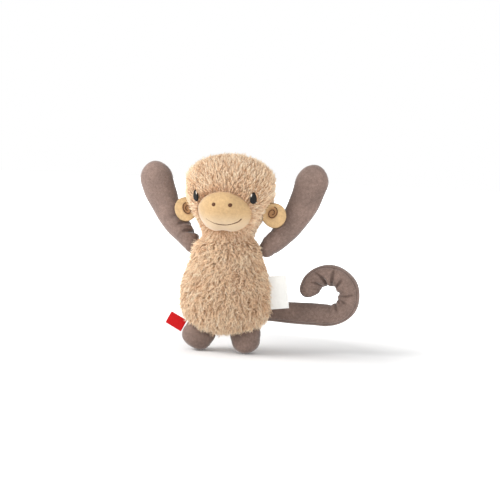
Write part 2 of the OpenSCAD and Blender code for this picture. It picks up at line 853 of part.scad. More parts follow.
// A leg piece cut flat where it stands
module standing() {
    intersection() {
        children();
        translate([-FLOOR_SIZE / 2, -FLOOR_SIZE / 2, 0])
            cube(FLOOR_SIZE);
    }
}
module left_leg_front_panel() {
    color(TAUPE) in_frame() standing() limb_panel(left_leg, FRONT, LIMB_COLUMNS);
}
module left_leg_back_panel() {
    color(TAUPE) in_frame() standing() limb_panel(left_leg, BACK, LIMB_COLUMNS);
}
module left_leg_filling() {
    color(FIBRE) in_frame() limb_filling(left_leg, LIMB_COLUMNS);
}
module right_leg_front_panel() {
    color(TAUPE) in_frame() standing() limb_panel(right_leg, FRONT, LIMB_COLUMNS);
}
module right_leg_back_panel() {
    color(TAUPE) in_frame() standing() limb_panel(right_leg, BACK, LIMB_COLUMNS);
}
module right_leg_filling() {
    color(FIBRE) in_frame() limb_filling(right_leg, LIMB_COLUMNS);
}
module tail_front_panel() {
    color(TAUPE) in_frame() limb_panel(tail, FRONT, TAIL_COLUMNS);
}
module tail_back_panel() {
    color(TAUPE) in_frame() limb_panel(tail, BACK, TAIL_COLUMNS);
}
module tail_filling() {
    color(FIBRE) in_frame() limb_filling(tail, TAIL_COLUMNS);
}

body_front_panel();
body_back_panel();
body_filling();
side_label();
hip_label();
head_front_panel();
head_back_panel();
head_filling();
muzzle_panel();
muzzle_filling();
left_eye();
right_eye();
eye_highlights();
nostrils();
mouth_stitch();
left_ear_front();
left_ear_back();
left_ear_spiral();
right_ear_front();
right_ear_back();
right_ear_spiral();
left_arm_front_panel();
left_arm_back_panel();
left_arm_filling();
right_arm_front_panel();
right_arm_back_panel();
right_arm_filling();
left_leg_front_panel();
left_leg_back_panel();
left_leg_filling();
right_leg_front_panel();
right_leg_back_panel();
right_leg_filling();
tail_front_panel();
tail_back_panel();
tail_filling();
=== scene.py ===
"""Looks of a stuffed toy monkey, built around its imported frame. Lengths are metres, angles degrees."""
import json
import math
import bpy
import bmesh
import numpy as np
from mathutils import Matrix, Vector, kdtree


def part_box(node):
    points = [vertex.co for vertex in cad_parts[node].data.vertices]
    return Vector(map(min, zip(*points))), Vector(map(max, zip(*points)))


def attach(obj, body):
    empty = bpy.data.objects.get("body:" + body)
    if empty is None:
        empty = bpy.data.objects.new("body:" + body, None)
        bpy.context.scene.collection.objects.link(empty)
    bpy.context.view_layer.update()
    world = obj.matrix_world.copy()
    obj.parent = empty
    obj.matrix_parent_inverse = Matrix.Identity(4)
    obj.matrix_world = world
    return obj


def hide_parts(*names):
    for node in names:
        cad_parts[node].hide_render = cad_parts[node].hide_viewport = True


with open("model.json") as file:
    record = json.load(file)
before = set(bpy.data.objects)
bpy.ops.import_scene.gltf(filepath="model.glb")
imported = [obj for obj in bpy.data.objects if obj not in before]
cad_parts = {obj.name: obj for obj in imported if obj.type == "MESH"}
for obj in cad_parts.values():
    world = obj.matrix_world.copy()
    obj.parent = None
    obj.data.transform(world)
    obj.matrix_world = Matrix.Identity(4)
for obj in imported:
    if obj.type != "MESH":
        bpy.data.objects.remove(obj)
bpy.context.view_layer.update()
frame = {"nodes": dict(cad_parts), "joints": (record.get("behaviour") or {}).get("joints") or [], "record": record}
JOINTS = {joint["name"]: joint for joint in frame["joints"]}
MM = 0.001

# Sizes of the body and head, as the part has them

NECK = np.array(JOINTS["neck_turn"]["pos_m"])
BODY_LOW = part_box("body_front_panel")[0][2]
BODY_HEIGHT = NECK[2] - BODY_LOW
BELLY_HALF = (45 * MM, 32 * MM)
BELLY_LEVEL = 38 * MM
SHOULDER_HALF = (37 * MM, 27 * MM)
SHOULDER_DROP = 17 * MM
NECK_HALF = (26.5 * MM, 22.5 * MM)
SEAT_SQUARENESS = 3.0
HEAD_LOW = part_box("head_front_panel")[0][2]
HEAD_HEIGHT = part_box("head_front_panel")[1][2] - HEAD_LOW
HEAD_HALF = (44.5 * MM, 34 * MM)
HEAD_RISE = (46 * MM, 32 * MM)
CROWN_RISE = 26 * MM
CROWN_SQUARENESS = 2.1
# Depth of the knitted backing under the middle of the pile's tips, and its thickness
PILE_DEPTH = 4.2 * MM
BACKING = 1.2 * MM

# Sizes of the face

MUZZLE_LEVEL = 26 * MM
MUZZLE_HALF = (27 * MM, 19.5 * MM)
MUZZLE_RISE = 9 * MM
EYE_OUT = 28.5 * MM
EYE_LEVEL = 40.5 * MM
EYE_HALF = (3.3 * MM, 5.6 * MM)
# Sideways lean of an eye from its foot to its top, and its shift towards the nose
EYE_LEAN = {"left": 0.03, "right": 0.15}
EYE_SHIFT = {"left": 0.0, "right": 1.0 * MM}
NOSE_SHIFT = 2.0 * MM
NOSTRIL_OUT = 7.8 * MM
NOSTRIL_LEVEL = 33.2 * MM
NOSTRIL_RADIUS = 1.8 * MM
MOUTH_HALF = 16.8 * MM
MOUTH_LEVEL = 19.4 * MM
MOUTH_SAG = 5.3 * MM
# The smile turns up at its left end, and its yarn thickens from right to left
MOUTH_UPTURN = 1.2 * MM
MOUTH_YARN = (0.14 * MM, 0.66 * MM)
MOUTH_STITCHES = 17
STITCH_LIFT = 0.15 * MM

# Sizes of the limbs

ARM_LENGTH = 95 * MM
ARM_ROOT = 9.75 * MM
# An arm's underside is drawn in to a share of that at the shoulder seam, and fills out again over a run
ARM_DRAWN_IN = 0.75
ARM_DRAWN_RUN = 20 * MM
HAND_HALF = (16.5 * MM, 11 * MM)
HAND_ROUNDING = 20 * MM
ARM_TILT = 13
ARM_LEAN = {"left": 41, "right": 42}
ARM_BEND = {"left": 32, "right": 23}
LEG_HALF = (15.5 * MM, 13 * MM)
LEG_ROOT = 13.5 * MM
LEG_TOP_SQUARENESS = 4
LEG_TAPER = {"left": (24 * MM, 2.2), "right": (16 * MM, 2.5)}
FOOT_ROUNDING = 12 * MM
FOOT_SQUARENESS = 2.6
SOLE_CUT = 0.5 * MM
LEG_SPLAY = {"left": 8, "right": 34}
TAIL_ROOT = 9 * MM
TAIL_CURL_HALF = 10.25 * MM
TAIL_DEPTH_HALF = 8 * MM
TAIL_RUN = 72 * MM
TAIL_CURL_RADIUS = 19.7 * MM
TAIL_CURL_TURN = 280
# How much straighter, longer or more turned the cloth of a limb is cut than it lies
TAIL_CUT_BEND = 0.94
TAIL_CUT_LONGER = 1.03
SHOULDER_CUT_TURN = {"left": -5, "right": -17}
SHOULDER_CUT_LONGER = {"left": 0.015, "right": 0.05}
SHOULDER_RUN = 32 * MM
LEG_CUT_LONGER = 0.04
VELOUR = 1.2 * MM

SIDES = {"left": 1, "right": -1}
FRONT = (180, 360)
BACK = (0, 180)


# Small maths on arrays

def mix(a, b, t):
    return a + (b - a) * t


def ease(t):
    return 0.5 - 0.5 * np.cos(np.pi * np.clip(t, 0, 1))


def rounding(distance, reach, exponent):
    """Share of the full size at a distance from a rounded end."""
    share = np.clip(np.asarray(distance) / reach, 0, 1)
    return (1 - (1 - share) ** exponent) ** (1 / exponent)


def unit(v):
    return v / np.maximum(np.linalg.norm(v, axis=-1, keepdims=True), 1e-12)


def bell(x, width):
    return np.exp(-(x / width) ** 2)


def cosd(a):
    return np.cos(np.radians(a))


def sind(a):
    return np.sin(np.radians(a))


def lumps(points, wavelength, seed, waves=14):
    """Soft random relief of about -1 to 1 at points in space."""
    rng = np.random.default_rng(seed)
    total = np.zeros(points.shape[:-1])
    for _ in range(waves):
        way = unit(rng.normal(size=3))
        pitch = wavelength * rng.uniform(0.7, 1.6)
        total += np.sin(points @ way * 2 * np.pi / pitch + rng.uniform(0, 2 * np.pi))
    return total / math.sqrt(waves / 2) / 1.6


# Meshes

def add_object(name, data):
    obj = bpy.data.objects.new(name, data)
    bpy.context.scene.collection.objects.link(obj)
    return obj


def add_smooth(name, mesh, material):
    """An object of a mesh, shaded smooth in one material."""
    mesh.materials.append(material)
    mesh.polygons.foreach_set("use_smooth", [True] * len(mesh.polygons))
    return add_object(name, mesh)


def add_mesh(name, points, faces, material):
    """An object of a mesh from an array of points and lists of faces."""
    mesh = bpy.data.meshes.new(name)
    mesh.from_pydata(points.reshape(-1, 3).tolist(), [], [face for group in faces for face in group])
    mesh.update()
    obj = add_smooth(name, mesh, material)
    facing = bmesh.new()
    facing.from_mesh(mesh)
    bmesh.ops.recalc_face_normals(facing, faces=facing.faces)
    facing.to_mesh(mesh)
    facing.free()
    return obj


def add_shade(obj, values):
    """Mark a mesh's points with the share of a material's second tone: painted shade in the limbs' folds, a darker
    line along their seams, painted light on the muzzle's lower part, and a darker tone inside the ears' spirals.
    """
    mark = obj.data.attributes.new("shade", "FLOAT", "POINT")
    mark.data.foreach_set("value", np.clip(values, 0, 1).ravel())


def quads(a, b, c, d):
    return np.stack([a, b, c, d], axis=-1).reshape(-1, 4).tolist()


def sheet_faces(rows, columns):
    """Faces of a closed sheet: a grid of outer points, then one of inner points."""
    outer = np.arange(rows * columns).reshape(rows, columns)
    inner = outer + rows * columns
    rim = np.concatenate([outer[0], outer[1:, -1], outer[-1, -2::-1], outer[-2:0:-1, 0]])
    rim_next = np.roll(rim, -1)
    return [
        quads(outer[:-1, :-1], outer[1:, :-1], outer[1:, 1:], outer[:-1, 1:]),
        quads(inner[:-1, :-1], inner[:-1, 1:], inner[1:, 1:], inner[1:, :-1]),
        quads(rim, rim_next, rim_next + rows * columns, rim + rows * columns),
    ]


SHARP_EDGE = 70


def add_sheet(name, outer, inner, material):
    rows, columns = outer.shape[:2]
    sheet = add_mesh(name, np.concatenate([outer, inner]), sheet_faces(rows, columns), material)
    sheet.data.set_sharp_from_angle(angle=math.radians(SHARP_EDGE))
    return sheet


def ring_faces(rows, columns):
    """Faces of a solid through closed rings, closed at both ends."""
    grid = np.arange(rows * columns).reshape(rows, columns)
    turned = np.roll(grid, -1, axis=1)
    return [
        quads(grid[:-1], turned[:-1], turned[1:], grid[1:]),
        [grid[0].tolist(), grid[-1, ::-1].tolist()],
    ]


def add_rings(name, rings, material):
    rows, columns = rings.shape[:2]
    return add_mesh(name, rings, ring_faces(rows, columns), material)


def joined(name, objects):
    """Several objects as one."""
    with bpy.context.temp_override(active_object=objects[0], selected_editable_objects=objects):
        bpy.ops.object.join()
    objects[0].name = name
    return objects[0]


def place_piece(piece, body, node=None):
    """Let a piece ride on a body, in place of a node."""
    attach(piece, body)
    if node:
        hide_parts(node)


# Materials

def colour(red, green, blue):
    """A colour as seen on screen, 0 to 255, as a linear one."""
    def linear(value):
        share = value / 255
        return share / 12.92 if share <= 0.04045 else ((share + 0.055) / 1.055) ** 2.4
    return (linear(red), linear(green), linear(blue), 1)


class Nodes:
    """A new material's nodes, added and linked in few words."""

    def __init__(self, name):
        self.material = bpy.data.materials.new(name)
        self.material.use_nodes = True
        self.tree = self.material.node_tree
        self.shader = self.tree.nodes["Principled BSDF"]

    def add(self, kind, inputs=None, **settings):
        node = self.tree.nodes.new(kind)
        for key, value in settings.items():
            setattr(node, key, value)
        for key, value in (inputs or {}).items():
            self.put(node.inputs[key], value)
        return node

    def put(self, socket, value):
        if isinstance(value, bpy.types.NodeSocket):
            self.tree.links.new(value, socket)
        else:
            socket.default_value = value

    def set(self, **values):
        for key, value in values.items():
            self.put(self.shader.inputs[key.replace("_", " ")], value)

    def noise(self, scale, detail=3.0, rough=0.6, vector=None):
        node = self.add("ShaderNodeTexNoise", {"Scale": scale, "Detail": detail, "Roughness": rough})
        self.put(node.inputs["Vector"], vector or self.place())
        return node.outputs["Fac"]

    def place(self):
        return self.add("ShaderNodeTexCoord").outputs["Object"]

    def ramp(self, fac, *stops):
        node = self.add("ShaderNodeValToRGB", {"Fac": fac})
        band = node.color_ramp.elements
        while len(band) < len(stops):
            band.new(1)
        for element, (position, shade) in zip(band, stops):
            element.position = position
            element.color = shade
        return node.outputs["Color"]

    def spread(self, fac, low, high, edge=0.3):
        """Two colours over the middle of a pattern's range, which rarely comes near 0 or 1."""
        return self.ramp(fac, (edge, low), (1 - edge, high))

    def mixed(self, fac, a, b, mode="MIX"):
        node = self.add("ShaderNodeMix", data_type="RGBA", blend_type=mode)
        self.put(node.inputs[0], fac)
        self.put(node.inputs[6], a)
        self.put(node.inputs[7], b)
        return node.outputs[2]

    def times(self, a, b):
        return self.mixed(1.0, a, b, "MULTIPLY")

    def bump(self, height, strength, distance):
        node = self.add("ShaderNodeBump", {"Strength": strength, "Distance": distance, "Height": height})
        self.put(self.shader.inputs["Normal"], node.outputs["Normal"])


def grey(value):
    return (value, value, value, 1)


# Noise scales of the brushed strokes and of the larger patches in a nap
NAP_SCALES = (420, 38)


def velour_material(name, dark, mid, light, shade, mottle, sheen):
    """Short napped cloth: fine grain, a nap mottled in strokes and patches, and a soft sheen."""
    n = Nodes(name)
    grain = n.noise(2400)
    cloth = n.ramp(grain, (0.3, dark), (0.5, mid), (0.7, light))
    for scale in NAP_SCALES:
        cloth = n.times(cloth, n.spread(n.noise(scale), grey(1 - mottle), grey(1 + mottle)))
    # The shade attribute mixes in the shade colour: painted shade on the limbs, painted light on the muzzle
    mark = n.add("ShaderNodeAttribute", attribute_name="shade").outputs["Fac"]
    n.set(Base_Color=n.mixed(mark, cloth, shade))
    n.set(Roughness=0.95, Sheen_Weight=sheen, Sheen_Roughness=0.35)
    n.bump(grain, 0.3, 0.2 * MM)
    return n.material


def fur_material(name, tones, roots):
    """Pile fibres: u is a fibre's tone from dark to light, and v runs from its root to its tip."""
    n = Nodes(name)
    place = n.add("ShaderNodeUVMap", uv_map="OFBake").outputs["UV"]
    split = n.add("ShaderNodeSeparateXYZ", {"Vector": place})
    tone = n.ramp(split.outputs["X"], *tones)
    # Darker towards the root, as painted shade deep in the pile
    along = n.ramp(split.outputs["Y"], *roots)
    n.set(Base_Color=n.times(tone, along), Roughness=0.75, Sheen_Weight=0.2)
    return n.material


def backing_material():
    """The knitted backing that the pile stands on."""
    n = Nodes("pile_backing")
    grain = n.noise(700, detail=4.0)
    # The backing's own cloth colour, made darker brown as painted shade under the pile
    n.set(Base_Color=n.spread(grain, colour(178, 138, 104), colour(214, 174, 138)), Roughness=0.95)
    n.bump(grain, 0.5, 0.5 * MM)
    return n.material


def thread_material(name, dark, light, roughness):
    """Embroidery yarn with its twist as fine slanted lines."""
    n = Nodes(name)
    lines = {"Scale": 420.0, "Distortion": 1.5, "Detail": 2.0, "Vector": n.place()}
    twist = n.add("ShaderNodeTexWave", lines, bands_direction="DIAGONAL").outputs["Fac"]
    n.set(Base_Color=n.spread(twist, dark, light, edge=0.2))
    n.set(Roughness=roughness, Specular_IOR_Level=0.2)
    n.bump(twist, 0.3, 0.15 * MM)
    return n.material


def ribbon_material(name, dark, light):
    """Woven ribbon: fine crossed ribs and a slight satin gloss."""
    n = Nodes(name)
    place = n.place()

    def ribs(scale, way):
        lines = {"Scale": scale, "Distortion": 0.4, "Vector": place}
        return n.add("ShaderNodeTexWave", lines, bands_direction=way).outputs["Fac"]

    weave = n.mixed(0.5, ribs(620.0, "Z"), ribs(480.0, "X"))
    cloth = n.mixed(n.spread(weave, grey(0), grey(1), edge=0.2), dark, light)
    worn = n.spread(n.noise(160, vector=place), grey(0.95), grey(1.03))
    n.set(Base_Color=n.times(cloth, worn))
    n.set(Roughness=0.7, Specular_IOR_Level=0.2, Sheen_Weight=0.05)
    n.bump(weave, 0.25, 0.1 * MM)
    return n.material


def fibre_material():
    """Loose white polyester wadding."""
    n = Nodes("wadding")
    fluff = n.noise(260, detail=6.0, rough=0.7)
    n.set(Base_Color=n.spread(fluff, colour(222, 219, 210), colour(247, 246, 241)))
    n.set(Roughness=0.95, Sheen_Weight=0.4)
    n.bump(fluff, 0.8, 1.5 * MM)
    return n.material


# The limbs' velour: its shade colour is painted shade in the folds, and the darker line along the seams
TAUPE = velour_material("taupe_velour", colour(98, 80, 72), colour(117, 97, 88), colour(136, 116, 106),
                        shade=colour(54, 37, 30), mottle=0.2, sheen=0.75)
GOLD_TONES = (colour(168, 135, 93), colour(179, 148, 106), colour(190, 161, 122))
# The muzzle's velour: its shade colour is a paler one, painted light on the muzzle's lower part
GOLD = velour_material("golden_velour", *GOLD_TONES, shade=colour(208, 189, 163), mottle=0.1, sheen=0.55)
EAR_GOLD = velour_material("ear_velour", *GOLD_TONES, shade=colour(132, 88, 52), mottle=0.14, sheen=0.55)
PILE_TONES = [(0.0, colour(204, 156, 116)), (0.3, colour(238, 198, 158)), (0.65, colour(252, 223, 187)),
              (1.0, colour(255, 240, 214))]
# Fibres darker towards their roots: painted shade deep in the pile
PAINTED_ROOT_SHADE = (0.55, 0.45, 0.37, 1)
UNDER_ROOTS = [(0.0, PAINTED_ROOT_SHADE), (0.7, grey(0.92)), (1.0, grey(0.97))]
OVER_ROOTS = [(0.0, PAINTED_ROOT_SHADE), (0.4, grey(0.95)), (0.7, grey(1.0))]
UNDER_PILE = fur_material("under_pile", PILE_TONES, UNDER_ROOTS)
OVER_PILE = fur_material("over_pile", PILE_TONES, OVER_ROOTS)
BACKING_CLOTH = backing_material()
BLACK_THREAD = thread_material("black_thread", colour(9, 8, 8), colour(26, 24, 24), 0.5)
BROWN_THREAD = thread_material("brown_thread", colour(58, 34, 20), colour(98, 64, 42), 0.6)
WHITE_THREAD = thread_material("white_thread", colour(206, 196, 182), colour(228, 220, 208), 0.5)
WHITE_RIBBON = ribbon_material("white_ribbon", colour(213, 212, 208), colour(227, 226, 222))
RED_RIBBON = ribbon_material("red_ribbon", colour(170, 3, 8), colour(192, 9, 15))
WADDING = fibre_material()


# Forms of the body and head

# Least half size of a ring of points, so that none falls together
LEAST_HALF = 0.1 * MM


def body_half(h, axis):
    belly, shoulder, neck = BELLY_HALF[axis], SHOULDER_HALF[axis], NECK_HALF[axis]
    dome_start = BODY_HEIGHT - SHOULDER_DROP
    dome_reach = SHOULDER_DROP / math.sqrt(1 - (neck / shoulder) ** 2)
    trunk = mix(belly, shoulder, ease((h - BELLY_LEVEL) / (dome_start - BELLY_LEVEL)))
    dome = np.sqrt(1 - (np.maximum(0, h - dome_start) / dome_reach) ** 2)
    return trunk * rounding(h, BELLY_LEVEL, SEAT_SQUARENESS) * dome


def head_half(h, axis):
    crown = rounding(HEAD_HEIGHT - h, CROWN_RISE, CROWN_SQUARENESS)
    return mix(NECK_HALF[axis], HEAD_HALF[axis], ease(h / HEAD_RISE[axis])) * crown


def body_levels(t):
    """Heights for shares 0 to 1: even along the rounded underside and close together at the neck."""
    drop = 1 - sind(np.minimum(180 * t, 90)) ** SEAT_SQUARENESS
    seat = BELLY_LEVEL * (1 - drop ** (1 / SEAT_SQUARENESS))
    upper = mix(BELLY_LEVEL, BODY_HEIGHT, sind(np.clip(180 * t - 90, 0, 90)))
    return np.where(t < 0.5, seat, upper)


def head_levels(t):
    """Heights for shares 0 to 1, close together at the crown."""
    return HEAD_HEIGHT * mix(t, sind(90 * t), 0.8)


def upright(half, h, z, a, inset):
    """Points of an upright form at heights h and angles a, drawn in by an inset and put at levels z."""
    inside = np.minimum(inset, half(h, 1) * 0.9)
    x = NECK[0] + np.maximum(half(h, 0) - inside, LEAST_HALF) * cosd(a)
    y = NECK[1] + np.maximum(half(h, 1) - inside, LEAST_HALF) * sind(a)
    return np.stack(np.broadcast_arrays(x, y, z), axis=-1)


def body_skin(t, a, inset):
    h = body_levels(t)
    return upright(body_half, h, BODY_LOW + mix(inset, BODY_HEIGHT, h / BODY_HEIGHT), a, inset)


def head_skin(t, a, inset):
    h = head_levels(t)
    return upright(head_half, h, HEAD_LOW + mix(0, HEAD_HEIGHT - inset, h / HEAD_HEIGHT), a, inset)


def head_front(x, z, inset=0.0):
    """Depth of the head's front at places seen from the front."""
    h = np.clip(z - HEAD_LOW, 0, HEAD_HEIGHT)
    width = np.maximum(head_half(h, 0) - inset, 1 * MM)
    return NECK[1] - (head_half(h, 1) - inset) * np.sqrt(np.maximum(0, 1 - ((x - NECK[0]) / width) ** 2))


# Room round the limbs' roots, and how much higher a leg's hollow is the more the leg is splayed
ROOT_CLEARANCE = 1.4 * MM
LEG_HOLLOW_MARGIN = 1 * MM
LEG_HOLLOW_GROWTH = 0.4


def leg_hollow(side):
    """Half sizes of the hollow for a leg."""
    height = LEG_ROOT * (1 + LEG_HOLLOW_GROWTH * sind(LEG_SPLAY[side]))
    return LEG_HALF[0] + LEG_HOLLOW_MARGIN, LEG_ROOT, height


ROOT_RADII = {
    "left_shoulder": 3 * (ARM_ROOT,),
    "right_shoulder": 3 * (ARM_ROOT,),
    "left_hip": leg_hollow("left"),
    "right_hip": leg_hollow("right"),
    "tail_swing": 3 * (TAIL_ROOT,),
}
LIMB_ROOTS = [(np.array(JOINTS[joint]["pos_m"]), np.array(radii)) for joint, radii in ROOT_RADII.items()]


def dished(points, grow):
    """Points moved out of the rounds that the limbs' roots fill."""
    for middle, radii in LIMB_ROOTS:
        away = points - middle
        share = np.linalg.norm(away / (radii + grow), axis=-1, keepdims=True)
        points = np.where(share < 1, middle + away / np.maximum(share, 1e-9), points)
    return points


def panel_grid(skin, span, rows, columns, inset):
    t = np.linspace(0, 1, rows)[:, None]
    a = np.linspace(*span, columns)[None, :]
    return skin(t, a, inset)


def cored(grid, edge):
    """A panel's grid with a first row close to the axis, at the level of its neck edge."""
    middle = np.array([NECK[0], NECK[1], edge[0, 2]])
    return np.concatenate([mix(edge, middle, 0.98)[None], grid])


# Pile

FIBRE_SIDES = 3


def fibre_faces(rings):
    """Triangles of one three-sided fibre: its root, its sides ring by ring, and its point."""
    faces = [[2, 1, 0]]
    for r in range(0, FIBRE_SIDES * (rings - 1), FIBRE_SIDES):
        for k in range(FIBRE_SIDES):
            n = (k + 1) % FIBRE_SIDES
            up = r + FIBRE_SIDES
            faces += [[r + k, r + n, up + n], [r + k, up + n, up + k]]
    last = FIBRE_SIDES * (rings - 1)
    for k in range(FIBRE_SIDES):
        faces.append([last + k, last + (k + 1) % FIBRE_SIDES, last + FIBRE_SIDES])
    return np.array(faces)


def scattered(grid, count, rng):
    """Roots spread evenly over a grid of points, with their normals."""
    across = grid[:-1, 1:] - grid[:-1, :-1]
    along = grid[1:, :-1] - grid[:-1, :-1]
    area = np.linalg.norm(np.cross(across, along), axis=-1).ravel()
    edge = np.cumsum(area) / area.sum()
    pick = np.searchsorted(edge, (np.arange(count) + rng.uniform(0, 1, count)) / count)
    pick = np.minimum(pick, len(area) - 1)
    i, k = np.divmod(pick, grid.shape[1] - 1)
    u, v = rng.uniform(0, 1, (2, count, 1))
    low = mix(grid[i, k], grid[i, k + 1], u)
    high = mix(grid[i + 1, k], grid[i + 1, k + 1], u)
    normal = unit(np.cross(across, along)).reshape(-1, 3)[pick]
    return mix(low, high, v), normal


def nearest(points, centres):
    tree = kdtree.KDTree(len(centres))
    for index, centre in enumerate(centres):
        tree.insert(centre, index)
    tree.balance()
    return np.array([tree.find(point)[1] for point in points])


# Settings of the two coats of pile: a dense one below, and longer curly locks over it.
# Lock is the fibres in a lock, wander and stray are how far locks and fibres leave the combing direction,
# gather is how far a lock's tips draw together, and tone runs from dark at 0 to light at 1.
COATS = {
    "under": {
        "count": 11500, "rings": 3, "lock": 3, "length": 5.4 * MM, "radius": 0.28 * MM, "lean": 42,
        "wander": 0.9, "stray": 0.35, "wave": 0.5 * MM, "gather": 0.3, "tone": 0.25, "cloth": UNDER_PILE,
    },
    "over": {
        "count": 9000, "rings": 4, "lock": 3, "length": 9.0 * MM, "radius": 0.19 * MM, "lean": 58,
        "wander": 0.75, "stray": 0.08, "wave": 1.5 * MM, "gather": 0.92, "tone": 0.7, "cloth": OVER_PILE,
    },
}
# Powers of a fibre's rise, reach and gathering along its length, and the radians of its wave
RISE_POWER = 0.8
REACH_POWER = 1.25
GATHER_POWER = 0.6
WAVE_TURN = 5.0
# Spread between locks and between the fibres of a lock: lean in degrees, length, and tone
LEAN_SPREAD = (8, 4)
LENGTH_SPREAD = ((0.8, 1.15), (0.85, 1.1))
TONE_SPREAD = (0.14, 0.06)
WAVE_SPREAD = (0.5, 1.4)
PHASE_SPREAD = 0.35
# How much thinner a fibre's tip is than its root
FIBRE_TAPER = 0.6


def flat_to(v, normals):
    """Vectors without their part along the normals."""
    return v - normals * np.sum(v * normals, axis=1, keepdims=True)


def fibre_points(spine, steps, side, normals, coat):
    """Points of tapered three-sided fibres round their spines."""
    points = np.zeros((len(normals), FIBRE_SIDES * coat["rings"] + 1, 3))
    for index, step in enumerate(steps[:-1]):
        ahead = unit(spine[index + 1] - spine[max(index - 1, 0)])
        first = unit(np.cross(ahead, side + 0.3 * normals))
        second = np.cross(ahead, first)
        thick = coat["radius"] * (1 - FIBRE_TAPER * step ** 2)
        for k in range(FIBRE_SIDES):
            turn = 2 * np.pi * k / FIBRE_SIDES
            offset = (first * math.cos(turn) + second * math.sin(turn)) * thick
            points[:, index * FIBRE_SIDES + k] = spine[index] + offset
    points[:, -1] = spine[-1]
    return points


def add_coat(name, roots, normals, flow, short, tone, coat, rng):
    """Fibres gathered in locks. Flow is the combing direction, short a share of the coat's length."""
    count = len(roots)
    locks = max(1, count // coat["lock"])
    chosen = rng.choice(count, locks, replace=False)
    lock = nearest(roots, roots[chosen])
    drift = unit(flat_to(rng.normal(0, 1, (locks, 3))[lock], normals))
    way = unit(flat_to(flow, normals)) + coat["wander"] * drift + rng.normal(0, coat["stray"], (count, 3))
    way = unit(flat_to(way, normals))
    lean = coat["lean"] + rng.normal(0, LEAN_SPREAD[0], locks)[lock] + rng.normal(0, LEAN_SPREAD[1], count)
    bend = np.radians(lean)[:, None]
    size = coat["length"] * short * rng.uniform(*LENGTH_SPREAD[0], locks)[lock]
    size = (size * rng.uniform(*LENGTH_SPREAD[1], count))[:, None]
    side = np.cross(normals, way)
    phase = (rng.uniform(0, 2 * np.pi, locks)[lock] + rng.normal(0, PHASE_SPREAD, count))[:, None]
    swing = (coat["wave"] * short * rng.uniform(*WAVE_SPREAD, locks)[lock])[:, None]
    gather = (roots[chosen][lock] - roots) * coat["gather"]
    steps = np.linspace(0, 1, coat["rings"] + 1)
    spine = []
    for step in steps:
        rise = normals * np.cos(bend) * size * step ** RISE_POWER
        reach = way * np.sin(bend) * size * step ** REACH_POWER
        wave = side * swing * np.sin(phase + WAVE_TURN * step) * step
        spine.append(roots + rise + reach + wave + gather * step ** GATHER_POWER)
    points = fibre_points(spine, steps, side, normals, coat)
    faces = (np.arange(count)[:, None, None] * points.shape[1] + fibre_faces(coat["rings"])).reshape(-1, 3)
    mesh = bpy.data.meshes.new(name)
    mesh.from_pydata(points.reshape(-1, 3), [], faces)
    mesh.update()
    shade = coat["tone"] + tone + rng.normal(0, TONE_SPREAD[0], locks)[lock]
    shade += rng.normal(0, TONE_SPREAD[1], count)
    uv = np.zeros((count, points.shape[1], 2))
    uv[..., 0] = np.clip(shade, 0.02, 0.98)[:, None]
    uv[..., 1] = np.append(np.repeat(steps[:-1], FIBRE_SIDES), 1.0).clip(0.02, 0.98)
    layer = mesh.uv_layers.new(name="OFBake")
    layer.data.foreach_set("uv", uv.reshape(-1, 2)[faces.ravel()].ravel())
    return add_smooth(name, mesh, coat["cloth"])


def limb_distance(points):
    """Distance of points from the nearest limb's root."""
    return np.min([(np.linalg.norm((points - middle) / radii, axis=1) - 1) * radii.min()
                   for middle, radii in LIMB_ROOTS], axis=0)


def outward(roots, normals, middle_level):
    """Normals turned away from the middle of the form."""
    away = roots - np.array([NECK[0], NECK[1], middle_level])
    return np.where(np.sum(normals * away, axis=1, keepdims=True) < 0, -normals, normals)


def add_pile(panel, body, grid, seed, coats, middle_level, grown, groomed):
    """Two coats of pile as pieces of their own, where grown says so, combed and cut as groomed says."""
    for step, (coat_name, coat) in enumerate(coats.items()):
        rng = np.random.default_rng(seed + step)
        roots, normals = scattered(grid, coat["count"], rng)
        keep = grown(roots)
        roots = roots[keep]
        normals = outward(roots, normals[keep], middle_level)
        flow, short, tone = groomed(roots, seed)
        pile = add_coat(f"{panel}_{coat_name}_pile", roots, normals, flow, short, tone, coat, rng)
        place_piece(pile, body)


# Points along and around a panel's backing, and on the finer grid for the pile's roots
BODY_GRID = (70, 70)
HEAD_GRID = (60, 70)
ROOT_GRID = (200, 200)
# Pile is trimmed to a share of its length round the limbs' and ears' roots and near the neck
TRIMMED_SHARE = 0.35
TRIMMED_RUN = 11 * MM
NECK_SHARE = 0.55
NECK_PILE = 9 * MM
ROOT_BARE = 1.0 * MM
# Strength and size of the patches of lighter and darker pile
PATCH_TONE = 0.1
BODY_PATCH = 16 * MM
HEAD_PATCH = 14 * MM


def body_grown(roots):
    return limb_distance(roots) > ROOT_BARE


def body_groomed(roots, seed):
    """Pile of the body: combed down, and trimmed round the limbs and at the neck."""
    top = ease((roots[:, 2] - NECK[2] + NECK_PILE) / NECK_PILE)
    flow = np.tile([0.0, 0.0, -1.0], (len(roots), 1))
    trimmed = mix(TRIMMED_SHARE, 1.0, ease(limb_distance(roots) / TRIMMED_RUN))
    return flow, trimmed * mix(1.0, NECK_SHARE, top), PATCH_TONE * lumps(roots, BODY_PATCH, seed)


def add_body(part, span, seed):
    """One pile-fabric panel of the body: its backing, hollowed for the limbs, and its pile."""
    faces = []
    for deep in (0, BACKING):
        face = dished(panel_grid(body_skin, span, *BODY_GRID, PILE_DEPTH + deep), ROOT_CLEARANCE + deep)
        faces.append(cored(face, face[-1]))
    backing = add_sheet(f"body_{part}_backing", *faces, BACKING_CLOTH)
    place_piece(backing, "torso", f"body_{part}_panel")
    grid = panel_grid(body_skin, span, *ROOT_GRID, PILE_DEPTH)
    middle_level = BODY_LOW + BELLY_LEVEL
    add_pile(f"body_{part}", "torso", grid, seed, COATS, middle_level, body_grown, body_groomed)


